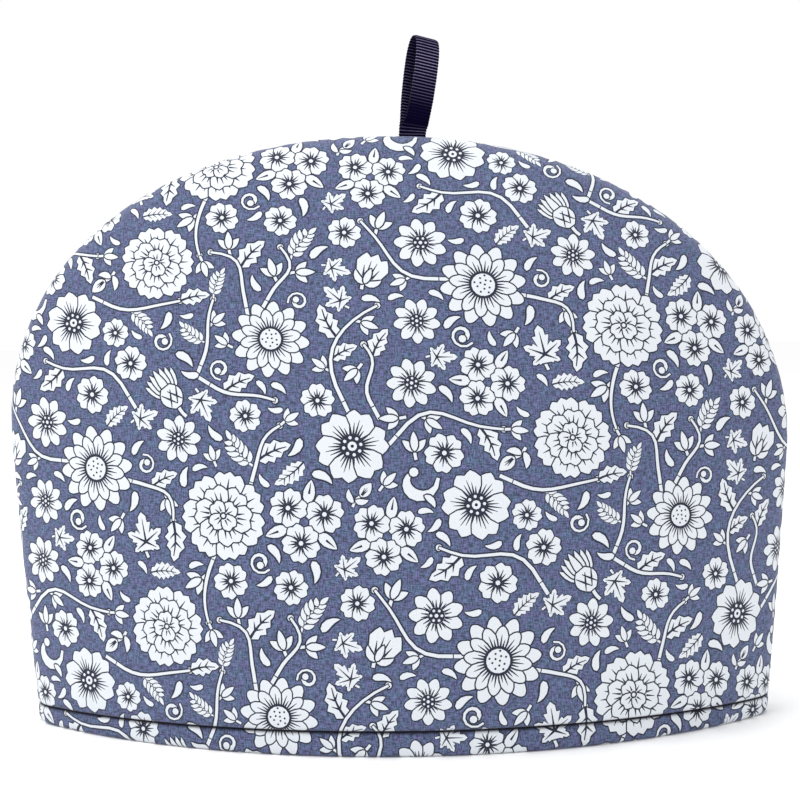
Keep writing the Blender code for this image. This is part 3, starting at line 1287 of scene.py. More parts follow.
    def measure_cloth(self) -> None:
        """Measures the cloth over the bulge, so that a print laid flat can be carried on to it."""
        rows, places, marks = self.table_size
        flat_reach, cloth_reach = self.table_reach
        top = self.crest_height + self.margin + self.table_margin
        self.rows = np.linspace(-self.table_margin, top, rows)
        self.marks = np.linspace(-cloth_reach, cloth_reach, marks)
        x = np.linspace(-flat_reach, flat_reach, places)
        z = np.clip(self.rows, 0, self.crest_height - self.table_margin)
        self.across = np.zeros((rows, marks))
        for row, height in enumerate(z):
            run = run_length(np.stack([x, self.bulge_at(x, np.full(places, height))], -1))
            run -= np.interp(self.lean_at(height), x, run)
            self.across[row] = np.interp(self.marks, run, x)
        depth = self.bulge_at(self.lean_at(z), z)
        self.up = run_length(np.stack([depth, self.rows], -1))
        self.up -= np.interp(0, self.rows, self.up)

    def to_flat(self, cloth: Points) -> Points:
        """Finds points of the flat panel.

        Args:
            cloth: Lengths measured along the cloth, across and up.

        Returns:
            The point at each.
        """
        z = np.interp(cloth[:, 1], self.up, self.rows)
        i, t = step_of(z, self.rows)
        k, s = step_of(cloth[:, 0], self.marks)
        low = self.across[i, k] * (1 - s) + self.across[i, k + 1] * s
        high = self.across[i + 1, k] * (1 - s) + self.across[i + 1, k + 1] * s
        return np.stack([low * (1 - t) + high * t, z], -1)

    def from_flat(self, flat: Points) -> Points:
        """Measures lengths along the cloth.

        Args:
            flat: Points of the flat panel.

        Returns:
            The lengths across and up to each.
        """
        row = (flat[:, 1] - self.rows[0]) / (self.rows[1] - self.rows[0])
        i = np.clip(row, 0, len(self.rows) - 2).astype(int)
        t = row - i
        made = np.zeros(len(flat))
        for index in np.unique(i):
            here = i == index
            low = np.interp(flat[here, 0], self.across[index], self.marks)
            high = np.interp(flat[here, 0], self.across[index + 1], self.marks)
            made[here] = low * (1 - t[here]) + high * t[here]
        return np.stack([made, np.interp(flat[:, 1], self.rows, self.up)], -1)


def step_of(value: Points, table: Points) -> tuple[Points, Points]:
    """Finds where values fall in an even table.

    Args:
        value: The values.
        table: The table, rising.

    Returns:
        The number of the entry below each, and how far past it the value is, as a share.
    """
    spot = np.clip((value - table[0]) / (table[1] - table[0]), 0, len(table) - 1.001)
    entry = spot.astype(int)
    return entry, spot - entry


# The panels
# ----------


def triangles(
    points: Points, edges: list[Pair], closest: float = 0.0005
) -> tuple[Points, Points, list[list]]:
    """Cuts the plane into triangles along edges.

    Args:
        points: Points in metres.
        edges: Pairs of their numbers.
        closest: How near two points may lie before they become one, in millimetres.

    Returns:
        The points, the triangles, and the rest of what the cut says: its edges, its faces,
        and which given points and edges each new one stands for.
    """
    made = delaunay_2d_cdt([Vector(p) for p in points / MM], edges, [], 0, closest, True)
    spots, faces = ([tuple(row) for row in made[k]] for k in (0, 2))
    return np.array(spots) * MM, np.array(faces), made[1:]


@dataclass
class CutCloth:
    """Flat cloth cut into triangles along the shapes printed on it."""

    outline: Points  # the cloth's edge in metres, anticlockwise
    lines: list[Points] = field(default_factory=list)  # that the triangles follow
    loose: list[Points] = field(default_factory=list)  # points used where nothing else is near
    shapes: Motif = field(default_factory=list)
    keep_off: float = 0.0006  # between a loose point and a cut

    def borders(self) -> tuple[Points, Points]:
        """Finds the edges that show between two inks.

        Returns:
            Their points, and the edges as pairs of the points' numbers.
        """
        loops = [self.outline, *(shape.outline for shape in self.shapes)]
        points, faces, _ = triangles(np.concatenate(loops), chained(loops, True))
        faces = faces[within(points[faces].mean(1), self.outline)]
        ink = np.repeat(self.paint(points[faces].mean(1)), 3)
        edges = np.sort(np.stack([faces, np.roll(faces, -1, axis=1)], -1).reshape(-1, 2))
        order = np.lexsort(edges.T)
        edges, ink = edges[order], ink[order]
        shown = (edges[1:] == edges[:-1]).all(1) & (ink[1:] != ink[:-1])
        used, numbered = np.unique(edges[1:][shown], return_inverse=True)
        return points[used], numbered.reshape(-1, 2)

    def cut(self) -> None:
        """Cuts the cloth and colours its triangles, topmost shape last."""
        shown, borders = self.borders()
        first = len(self.outline)
        edges = chained([self.outline], True) + (borders + first).tolist()
        edges += chained(self.lines, False, first + len(shown))
        firm = np.concatenate([self.outline, shown, *self.lines])
        tree = tree_of(firm)
        loose = np.concatenate(self.loose)
        loose = loose[within(loose, self.outline)]
        apart = np.array([tree.find((x, z, 0))[2] for x, z in loose])
        points, faces, rest = triangles(np.concatenate([firm, loose[apart > self.keep_off]]), edges)
        found = {old: new for new, olds in enumerate(rest[2]) for old in olds}
        rim = self.walk(points, rest[0], rest[3], found[0])
        faces = faces[within(points[faces].mean(1), points[rim])]
        used = np.unique(faces)
        renumbered = np.full(len(points), -1)
        renumbered[used] = np.arange(len(used))
        self.points, self.faces = points[used], renumbered[faces]
        self.ink = self.paint(self.points[self.faces].mean(1))
        self.edge = [int(renumbered[found[k]]) for k in range(first)]
        self.rim = renumbered[rim].tolist()

    def walk(
        self, points: Points, edges: list[Pair], origins: list[list[int]], start: int
    ) -> list[int]:
        """Walks once round the cut edge.

        Args:
            points: The cut cloth's points.
            edges: Its edges.
            origins: The given edges that each edge is a part of, the outline's own first.
            start: The outline's first point.

        Returns:
            The edge's points in order, anticlockwise.
        """
        beside: dict[int, list[int]] = {}
        for (a, b), olds in zip(edges, origins):
            if min(olds, default=len(self.outline)) < len(self.outline):
                beside.setdefault(a, []).append(b)
                beside.setdefault(b, []).append(a)
        way = self.outline[1] - self.outline[0]
        chain = [start, max(beside[start], key=lambda k: (points[k] - points[start]) @ way)]
        while chain[-1] != start:
            one, other = beside[chain[-1]]
            chain.append(other if one == chain[-2] else one)
        return chain[:-1]

    def paint(self, centres: Points) -> Points:
        """Finds the ink of triangles.

        Args:
            centres: Their centres.

        Returns:
            The ink of each.
        """
        ink = np.zeros(len(centres), np.int32)
        order = np.argsort(centres[:, 0])
        across = centres[order, 0]
        for shape in self.shapes:
            low, high = shape.outline.min(0), shape.outline.max(0)
            near = order[np.searchsorted(across, low[0]) : np.searchsorted(across, high[0])]
            near = near[(centres[near, 1] > low[1]) & (centres[near, 1] < high[1])]
            ink[near[within(centres[near], shape.outline)]] = int(shape.ink)
        return ink


@dataclass
class Panel:
    """One padded panel: printed cloth outside, its plain reverse inside, hemmed below."""

    form: CosyForm
    pattern: FloralPrint
    side: Side
    shift: Pair  # where the print's repeat begins on this panel, in millimetres
    repeats: tuple[int, int] = (3, 4)  # of the print, on each side of the middle and of the hem
    overhang: float = 40.0  # how far a motif may reach out of its repeat, in millimetres
    spare: float = 2.0  # of print round the panel, in millimetres
    seam_step: float = 0.0022
    rough_step: float = 0.006  # along the seam, where the panel is only measured
    ring_step: float = 0.0014
    ring_reach: float = 0.0155
    ring_foot: float = 0.0003  # how near the hem a ring comes
    fine_rings: int = 6
    field_step: float = 0.0052
    field_foot: float = 0.016
    field_reach: float = 0.18
    longest_cut: float = 0.0050  # a printed edge is split where it is longer
    inner_step: float = 0.0095
    inner_rings: int = 3  # one inner ring for so many outer ones
    inner_rows: int = 4
    hem_rows: tuple[float, ...] = (0.0005, 0.0010, 0.0016, 0.0025, 0.0045)
    hem_steps: int = 90
    crease_rows: tuple[float, ...] = (-2.0, -1.1, -0.7, -0.35, 0, 0.35, 0.7, 1.1, 1.8, 2.8, 4.4)
    crease_shade_reach: float = 0.00062  # how far the painted shade along the stitched crease spreads
    # the strength of the painted shade on the crease's line, before it is clipped to one
    crease_shade_most: float = 1.25
    atlas: float = 0.47  # the length of cloth across the whole of the bake's map
    map_foot: float = 0.004
    inner_map: tuple[float, float] = (0.42, 0.69)  # the inner face's share of the map, and place
    seam_map: tuple[float, float] = (0.5, 0.98)  # where the seam's band begins and ends
    seam_rows: tuple[float, float] = (0.975, 0.99)  # of its inner and of its outer edge

    @property
    def name(self) -> str:
        """The panel's CAD node."""
        return f"{self.side.name.lower()}_panel"

    def printed(self) -> Motif:
        """Lays the print on the panel.

        Returns:
            The shapes that fall on it, in metres of its flat cloth.
        """
        outline = self.form.from_flat(self.form.outline(self.rough_step)) / MM
        low, high = outline.min(0) - self.spare, outline.max(0) + self.spare
        width, height = self.pattern.width, self.pattern.height
        bounds = [(s, s.outline.min(0), s.outline.max(0)) for s in self.pattern.shapes]
        across, up = self.repeats
        made: Motif = []
        for i in range(-across, across + 1):
            for j in range(-up, up + 1):
                at = np.array([i * width, j * height + i * height / 2]) + self.shift
                past = at + [width + self.overhang, height + self.overhang]
                if (past < low).any() or (at - self.overhang > high).any():
                    continue
                for shape, least, most in bounds:
                    if (at + most > low).all() and (at + least < high).all():
                        made.append(Shape(shape.ink, self.laid(shape.outline + at)))
        span = self.form.cut_line[:, 0].max()
        return [s for s in made if s.outline[:, 1].max() > 0 and abs(s.outline[:, 0]).min() < span]

    def laid(self, outline: Points) -> Points:
        """Puts an outline on the flat panel.

        Args:
            outline: Its points, in millimetres of cloth.

        Returns:
            Its points in metres, with more of them where it was long from one to the next.
        """
        flat = self.form.to_flat(outline * MM)
        ahead = np.roll(flat, -1, axis=0)
        steps = np.ceil(np.linalg.norm(ahead - flat, axis=1) / self.longest_cut).astype(int)
        steps = np.maximum(steps, 1)
        if steps.max() == 1:
            return flat
        first = np.repeat(np.arange(len(flat)), steps)
        share = np.concatenate([np.arange(n) / n for n in steps])[:, None]
        return flat[first] * (1 - share) + ahead[first] * share

    def guide_lines(self, fine: bool) -> list[Points]:
        """Lays the lines that the cloth's triangles follow, along the seam's roll and the hem.

        Args:
            fine: Whether for the outer face, which has more of them.

        Returns:
            The lines.
        """
        form, made = self.form, []
        ring_step = self.ring_step * (1 if fine else self.inner_rings)
        for k, reach in enumerate(np.arange(self.ring_step, self.ring_reach, ring_step)):
            ring = form.cut_line - form.normals * reach
            spacing = self.seam_step * (1 if k < self.fine_rings else 2)
            made.append(evenly(ring[ring[:, 1] > self.ring_foot], spacing))
        offsets = np.array(self.crease_rows) * MM
        offsets = offsets if fine else offsets[:: self.inner_rows]
        across = np.linspace(-form.hem_half_width, form.hem_half_width, self.hem_steps)
        for rows, follows in ((self.hem_rows, 0.0), (offsets, 1.0)):
            for row in rows:
                line = np.stack([across, row + follows * form.crease_at(across)], -1)
                made.append(line[form.to_seam(line)[0] > 0.5 * self.ring_step])
        return made

    def ground_points(self, step: float) -> Points:
        """Sets loose points over the field of the panel, in staggered rows.

        Args:
            step: How far apart they are.

        Returns:
            The points, clear of the seam's roll.
        """
        made = []
        for k, z in enumerate(np.arange(self.field_foot, self.form.crest_height, step)):
            x = np.arange(-self.field_reach, self.field_reach, step) + (k % 2) * step / 2
            made.append(np.stack([x, np.full(len(x), z)], -1))
        spots = np.concatenate(made)
        return spots[self.form.to_seam(spots)[0] > self.ring_reach]

    def build(self) -> Object:
        """Makes the panel.

        Returns:
            The piece: the outer cloth, the inner face and the seam's edge between them.
        """
        outline = self.form.outline(self.seam_step)
        outer = CutCloth(outline, self.guide_lines(True), [self.ground_points(self.field_step)])
        outer.shapes = self.printed()
        outer.cut()
        inner = CutCloth(outer.points[outer.rim], self.guide_lines(False))
        inner.loose = [self.ground_points(self.inner_step)]
        inner.cut()
        return self.join(outer, inner)

    def join(self, outer: CutCloth, inner: CutCloth) -> Object:
        """Joins the outer and inner cloth into one closed piece.

        Args:
            outer: The printed cloth.
            inner: The inner face, whose edge has the same points.

        Returns:
            The piece, with its print, its lengths of cloth and its bake map.
        """
        first, rim = len(outer.points), outer.rim
        outside = self.form.outer(outer.points, self.side)
        inside = self.form.inner(inner.points, self.side)
        index = first + np.arange(len(inner.points))
        for mine, theirs in zip(inner.edge, rim):
            if outer.points[theirs, 1] < HAIR:
                index[mine] = theirs
        ring = [int(index[k]) for k in inner.edge]
        faces = [tuple(face) for face in outer.faces.tolist()]
        faces += [tuple(face[::-1]) for face in index[inner.faces].tolist()]
        finish = np.repeat([0, 1], [len(outer.faces), len(inner.faces)])
        for k, n in zip(range(len(rim)), [*range(1, len(rim)), 0]):
            strip = tuple(dict.fromkeys((rim[n], rim[k], ring[k], ring[n])))
            if len(strip) > 2:
                faces.append(strip)
        finish = np.concatenate([finish, np.zeros(len(faces) - len(finish), int)])
        if self.side is Side.BACK:
            faces = [face[::-1] for face in faces]
        name = f"{self.side.name.lower()}_cloth"
        made = new_object(name, np.concatenate([outside, inside]), faces)
        ink = np.zeros(len(faces), np.int32)
        ink[: len(outer.ink)] = outer.ink
        give_attribute(made.data, "ink", "INT", "FACE", ink)
        made.data.polygons.foreach_set("material_index", finish.astype(np.int32))
        self.map_cloth(made.data, outer, inner, ring)
        drop_unused(made.data)
        return made

    def map_cloth(self, mesh: Mesh, outer: CutCloth, inner: CutCloth, ring: list[int]) -> None:
        """Gives the piece its lengths of cloth and the map that it is baked through.

        Args:
            mesh: The joined mesh.
            outer: The printed cloth.
            inner: The inner face.
            ring: The points of its edge in order.
        """
        flat = np.concatenate([outer.points, inner.points])
        lengths = np.concatenate([self.form.from_flat(flat), np.zeros((len(flat), 1))], 1)
        spots = lengths[:, :2] * [-self.side.value, 1] / self.atlas + [0.5, self.map_foot]
        # Painted shade in the stitched crease: a mask that is full on the crease's line and fades
        # away from it, on the outer face only.
        off = (outer.points[:, 1] - self.form.crease_at(outer.points[:, 0])) / self.crease_shade_reach
        painted_crease_shade = np.zeros(len(flat))
        painted_crease_shade[: len(off)] = np.clip(self.crease_shade_most * np.exp(-(off**2)), 0, 1)
        give_attribute(mesh, "painted_crease_shade", "FLOAT", "POINT", painted_crease_shade)
        lengths[len(outer.points) :, 1] *= -1
        lengths[:, 0] += self.side.value
        give_attribute(mesh, "cloth", "FLOAT_VECTOR", "POINT", lengths)
        used = np.zeros(len(mesh.loops), np.int32)
        mesh.loops.foreach_get("vertex_index", used)
        inner_start = 3 * len(outer.faces)
        seam_start = inner_start + 3 * len(inner.faces)
        chosen = spots[used]
        size, place = self.inner_map
        chosen[inner_start:] = chosen[inner_start:] * size + [0.0, place]
        band = np.zeros((len(flat), 2))
        share = np.linspace(*self.seam_map, len(ring))
        for points, row in zip((ring, outer.rim), self.seam_rows):
            band[points] = np.stack([share, np.full(len(share), row)], -1)
        chosen[seam_start:] = band[used[seam_start:]]
        mesh.uv_layers.new(name="OFBake").data.foreach_set("uv", chosen.ravel())


# The ribbon loop
# ---------------


@dataclass
class RibbonLoop:
    """A ribbed ribbon, folded in two and caught in the seam at the crest."""

    form: CosyForm
    width: float = 0.0114
    thickness: float = 0.0010
    rib_pitch: float = 0.0013
    rib_power: float = 0.7
    valley: float = 0.45  # thickness between two ribs, as a share
    selvedge: float = 0.0009
    selvedge_rib: Pair = (0.35, 0.2)  # a rib's height at its edge, and how much it gains inside
    selvedge_edge: Pair = (0.55, 0.45)  # the thickness at the edge, and what it gains inside
    selvedge_round: float = 3.0  # rounded over one part in so many of its width
    selvedge_step: float = 0.00006  # from the last rib to the selvedge
    columns: int = 7
    faces_apart: float = 0.02  # keeps the two faces' lengths of cloth apart
    steps_per_rib: int = 8
    twist: float = math.radians(30)
    twist_run: float = 0.009
    lean: float = math.radians(8)
    lean_run: float = 0.006
    shift: float = 0.0021  # from the middle of its seam opening
    curve_steps: int = 24
    knots: tuple[Pair, ...] = (  # half its curve from the seam up, as (out, up)
        (0.00068, -0.0045),
        (0.00068, -0.0010),
        (0.00130, 0.0022),
        (0.00280, 0.0090),
        (0.00400, 0.0180),
        (0.00440, 0.0280),
        (0.00400, 0.0362),
        (0.00240, 0.0415),
        (0.00000, 0.0430),
    )

    def curve(self) -> Points:
        """Draws the curve of the folded ribbon.

        Returns:
            Points as (out, up), from its front end in the seam to its back one.
        """
        half = np.array(self.knots)
        knots = np.concatenate([half * [-1, 1], half[-2::-1]])
        ends = 2 * knots[:1] - knots[1:2], 2 * knots[-1:] - knots[-2:-1]
        padded = np.concatenate([ends[0], knots, ends[1]])
        t = np.linspace(0, 1, self.curve_steps, endpoint=False)[:, None]
        spans = []
        for a, b, c, d in zip(padded, padded[1:], padded[2:], padded[3:]):
            bend = (2 * a - 5 * b + 4 * c - d) * t**2 + (3 * b - a - 3 * c + d) * t**3
            spans.append(b + ((c - a) * t + bend) / 2)
        fine = np.concatenate([*spans, knots[-1:]])
        ribs = round(run_length(fine)[-1] / self.rib_pitch)
        return evenly(fine, run_length(fine)[-1] / (ribs * self.steps_per_rib))

    def place(self, out: Points, up: Points, across: Points) -> Points:
        """Puts points of the loop in space, twisted and leaning over the seam.

        Args:
            out: How far each is in front of the middle of the loop or behind it.
            up: Its height above the crest.
            across: Its place across the ribbon.

        Returns:
            The points.
        """
        turn = self.twist * np.sin(math.pi / 2 * np.clip(up / self.twist_run, 0, 1)) ** 2
        x = across * np.cos(turn) - out * np.sin(turn)
        y = across * np.sin(turn) + out * np.cos(turn)
        tip = self.lean * np.clip(up / self.lean_run, 0, 1)
        z = up * np.cos(tip) - x * np.sin(tip)
        x = x * np.cos(tip) + up * np.sin(tip)
        return np.stack([x + self.form.ribbon_x + self.shift, y, z + self.form.crest_height], -1)

    def faces_at(self, curve: Points, across: Points) -> tuple[Points, Points]:
        """Lays out the ribbon's two faces.

        Args:
            curve: The curve that it follows.
            across: Places across it.

        Returns:
            The points of each face, as rows along it and columns across it.
        """
        along = unit(np.gradient(curve, axis=0))
        normal = np.stack([-along[:, 1], along[:, 0]], -1)
        phase = np.arange(len(curve)) / self.steps_per_rib
        rib = np.abs(np.sin(math.pi * phase)) ** self.rib_power
        inset = np.clip((self.width / 2 - np.abs(across)) / self.selvedge, 0, 1)
        low, gain = self.selvedge_rib
        raised = np.where(inset < 0.99, low + gain * inset, 1.0)
        thick = self.valley + (1 - self.valley) * rib[:, None] * raised[None]
        thin, rounded = self.selvedge_edge
        edge = thin + rounded * np.clip(inset * self.selvedge_round, 0, 1)
        half = self.thickness / 2 * thick * edge
        made = []
        for side in (-1, 1):
            out = curve[:, :1] + side * normal[:, :1] * half
            up = curve[:, 1:] + side * normal[:, 1:] * half
            made.append(self.place(out, up, np.broadcast_to(across, out.shape)))
        return made[0], made[1]

    def build(self) -> Object:
        """Makes the ribbon.

        Returns:
            The finished piece, one closed band.
        """
        curve = self.curve()
        edge, inside = self.width / 2, self.width / 2 - self.selvedge
        marks = (-edge, -edge + self.selvedge / 3, -inside - self.selvedge_step)
        middle = np.linspace(-inside, inside, self.columns)
        across = np.concatenate([marks, middle, [-mark for mark in marks[::-1]]])
        first, second = self.faces_at(curve, across)
        rows, columns = first.shape[:2]
        ring = np.concatenate([first, second[:, ::-1]], 1)
        count = 2 * columns
        faces = []
        for row in range(rows - 1):
            for k in range(count):
                a, b = row * count + k, row * count + (k + 1) % count
                faces.append((a, b, b + count, a + count))
        faces.append(tuple(range(count))[::-1])
        faces.append(tuple(range((rows - 1) * count, rows * count)))
        made = new_object("ribbon", ring.reshape(-1, 3), faces)
        lengths = np.zeros((rows, count, 3))
        lengths[:, :, 1] = run_length(curve)[:, None]
        lengths[:, :, 0] = np.concatenate([across, across[::-1] + self.faces_apart])
        give_attribute(made.data, "cloth", "FLOAT_VECTOR", "POINT", lengths)
        return made

    def edge_lines(self) -> list[Points]:
        """Lays out the ribbon's edges, for the small loops of its selvedges.

        Returns:
            A line for each edge, where it is above the seam.
        """
        curve = self.curve()
        out, up = curve[curve[:, 1] > 0].T
        return [self.place(out, up, np.full(len(up), s * self.width / 2)) for s in (-1, 1)]

    def length(self) -> float:
        """The length of ribbon in the loop."""
        return float(run_length(self.curve())[-1])


# Node trees
# ----------


@dataclass(frozen=True)
class Nodes:
    """Adds nodes to a node tree, with what their inputs read."""

    tree: NodeTree

    def sockets(self, way: str, kind: str, *names: str) -> None:
        """Gives a node group inputs or outputs of one kind."""
        for name in names:
            self.tree.interface.new_socket(name, in_out=way, socket_type=f"NodeSocket{kind}")

    def feed(self, node: Node, values: Values) -> None:
        """Gives a node's inputs what they read.

        Args:
            node: The node.
            values: For each input an output to link, or what it is set to.
        """
        for name, value in values.items():
            socket = node.inputs[name]
            if isinstance(value, NodeSocket):
                self.tree.links.new(value, socket)
            else:
                socket.default_value = (*value, 1.0) if socket.type == "RGBA" else value

    def add(self, kind: str, values: Values | None = None, **settings: str) -> Node:
        """Adds a node.

        Args:
            kind: Its type.
            values: What its inputs read.
            settings: Its other settings.

        Returns:
            The node.
        """
        made = self.tree.nodes.new(kind)
        for name, setting in settings.items():
            setattr(made, name, setting)
        self.feed(made, values or {})
        return made

    def reckon(self, operation: str, *values: NodeSocket | float) -> NodeSocket:
        """The result of a sum on values."""
        return self.add("ShaderNodeMath", dict(enumerate(values)), operation=operation).outputs[0]

    def noise(self, place: NodeSocket, scale: float, detail: float = 2.0) -> NodeSocket:
        """Noise, as a value from 0 to 1."""
        values = {"Vector": place, "Scale": scale, "Detail": detail}
        return self.add("ShaderNodeTexNoise", values).outputs["Fac"]

    def stretch(self, value: NodeSocket, start: Pair, end: Pair = (0.0, 1.0)) -> NodeSocket:
        """A value stretched from one range over another."""
        names = ("Value", "From Min", "From Max", "To Min", "To Max")
        return self.add("ShaderNodeMapRange", dict(zip(names, (value, *start, *end)))).outputs[0]

    def attribute(self, name: str, output: str = "Fac") -> NodeSocket:
        """An attribute of the mesh."""
        return self.add("ShaderNodeAttribute", attribute_name=name).outputs[output]

    def mix(self, share: NodeSocket, first: NodeSocket | Colour, second: Colour) -> NodeSocket:
        """A colour between two, by the second one's share."""
        values = {"Factor": share, "A": first, "B": second}
        return self.add("ShaderNodeMix", values, data_type="RGBA").outputs["Result"]


def new_material(name: str, values: Values) -> tuple[Material, Nodes, Node]:
    """Starts a material.

    Args:
        name: Its name.
        values: What its shader's inputs are set to.

    Returns:
        The material, its nodes and its shader.
    """
    made = bpy.data.materials.new(name)
    made.use_nodes = True
    nodes, shader = Nodes(made.node_tree), made.node_tree.nodes["Principled BSDF"]
    nodes.feed(shader, values)
    return made, nodes, shader


# Stitches
# --------


@dataclass
class StitchRun:
    """A run of stitches or small thread loops along lines, made with Geometry Nodes."""

    name: str
    pitch: float
    length: float
    width: float
    seed: int = 3
    sides: int = 6
    rings: int = 5
    vary: Pair = (0.9, 1.08)  # the least and the greatest of a stitch's sizes, as shares

    def tree(self, finish: Material) -> NodeTree:
        """Sets up the nodes that lay one thread on each step of a line.

        Args:
            finish: What the thread is made of.

        Returns:
            The node group.
        """
        nodes = Nodes(bpy.data.node_groups.new(f"{self.name}_run", "GeometryNodeTree"))
        nodes.sockets("INPUT", "Geometry", "Lines")
        nodes.sockets("INPUT", "Float", "Pitch", "Length", "Width")
        nodes.sockets("OUTPUT", "Geometry", "Stitches")
        start = nodes.add("NodeGroupInput").outputs
        curve = nodes.add("GeometryNodeMeshToCurve", {"Mesh": start["Lines"]}).outputs[0]
        steps = {"Curve": curve, "Length": start["Pitch"]}
        spaced = nodes.add("GeometryNodeResampleCurve", steps, mode="LENGTH").outputs[0]
        ball = {"Segments": self.sides, "Rings": self.rings, "Radius": 0.5}
        thread = nodes.add("GeometryNodeMeshUVSphere", ball).outputs["Mesh"]
        along = {"Vector": nodes.add("GeometryNodeInputTangent").outputs[0]}
        turned = nodes.add("FunctionNodeAlignRotationToVector", along, axis="X").outputs[0]
        sizes = {"X": start["Length"], "Y": start["Width"], "Z": start["Width"]}
        size = nodes.add("ShaderNodeCombineXYZ", sizes).outputs[0]
        vary = nodes.add("FunctionNodeRandomValue", data_type="FLOAT_VECTOR")
        least, most = ((share, share, share) for share in self.vary)
        nodes.feed(vary, {"Min": least, "Max": most, "Seed": self.seed})
        both = {0: size, 1: vary.outputs["Value"]}
        scale = nodes.add("ShaderNodeVectorMath", both, operation="MULTIPLY").outputs[0]
        laid = {"Points": spaced, "Instance": thread, "Rotation": turned, "Scale": scale}
        made = nodes.add("GeometryNodeInstanceOnPoints", laid).outputs[0]
        for kind in ("GeometryNodeRealizeInstances", "GeometryNodeSetShadeSmooth"):
            made = nodes.add(kind, {"Geometry": made}).outputs[0]
        dressed = nodes.add("GeometryNodeSetMaterial", {"Geometry": made, "Material": finish})
        nodes.add("NodeGroupOutput", {"Stitches": dressed.outputs[0]})
        return nodes.tree

    def build(self, lines: list[Points], finish: Material) -> Object:
        """Sews the run.

        Args:
            lines: The lines that it follows.
            finish: What the thread is made of.

        Returns:
            One plain mesh of all the stitches.
        """
        made = new_object(self.name, np.concatenate(lines), [], chained(lines, False))
        modifier = made.modifiers.new("stitches", "NODES")
        modifier.node_group = self.tree(finish)
        for item in modifier.node_group.interface.items_tree:
            if item.in_out == "INPUT" and item.name in ("Pitch", "Length", "Width"):
                modifier[item.identifier] = getattr(self, item.name.lower())
        graph = bpy.context.evaluated_depsgraph_get()
        made.data = bpy.data.meshes.new_from_object(made.evaluated_get(graph))
        made.modifiers.clear()
        return made


def hem_line(form: CosyForm, side: Side) -> Points:
    """Lays the stitched line on a panel's face.

    Args:
        form: The cosy's shape.
        side: The panel.

    Returns:
        The line, a little off the bottom of its crease and clear of the side seams.
    """
    reach, steps, clear, lift = form.hem_half_width + 0.004, 220, 0.0012, 0.0001
    across = np.linspace(-reach, reach, steps)
    flat = np.stack([across, form.crease_at(across)], -1)
    flat = flat[form.to_seam(flat)[0] > clear]
    return form.outer(flat, side) + form.facing(flat, side) * lift


# Finishes
# --------


@dataclass(frozen=True)
class Weave:
    """The weave that the cloths share: uneven threads both ways, as a mask and a height."""

    slub: float = 420.0  # how quickly a thread's thickness changes along it
    crossing: float = 0.25  # how much the threads' crossings add to the height

    def group(self) -> NodeTree:
        """Sets up the weave's node group.

        Returns:
            The group, which reads the length of cloth and the threads in a metre each way.
        """
        nodes = Nodes(bpy.data.node_groups.new("weave", "ShaderNodeTree"))
        nodes.sockets("INPUT", "Vector", "Cloth")
        nodes.sockets("INPUT", "Float", "Across", "Along")
        nodes.sockets("OUTPUT", "Float", "Threads", "Height")
        start = nodes.add("NodeGroupInput").outputs
        cloth = nodes.add("ShaderNodeSeparateXYZ", {0: start["Cloth"]}).outputs
        noises, waves = [], []
        for fine, coarse, long_way in (("X", "Y", "Along"), ("Y", "X", "Across")):
            thin = nodes.reckon("MULTIPLY", cloth[fine], start[long_way])
            slow = nodes.reckon("MULTIPLY", cloth[coarse], self.slub)
            turned = nodes.add("ShaderNodeCombineXYZ", {"X": thin, "Y": slow}).outputs[0]
            noises.append(nodes.noise(turned, 1.0))
            waves.append(nodes.reckon("SINE", nodes.reckon("MULTIPLY", thin, math.pi)))
        threads = nodes.reckon("MULTIPLY", nodes.reckon("ADD", *noises), 0.5)
        woven = nodes.reckon("MULTIPLY", *waves)
        height = nodes.reckon("MULTIPLY_ADD", woven, self.crossing, threads)
        nodes.add("NodeGroupOutput", {"Threads": threads, "Height": height})
        return nodes.tree


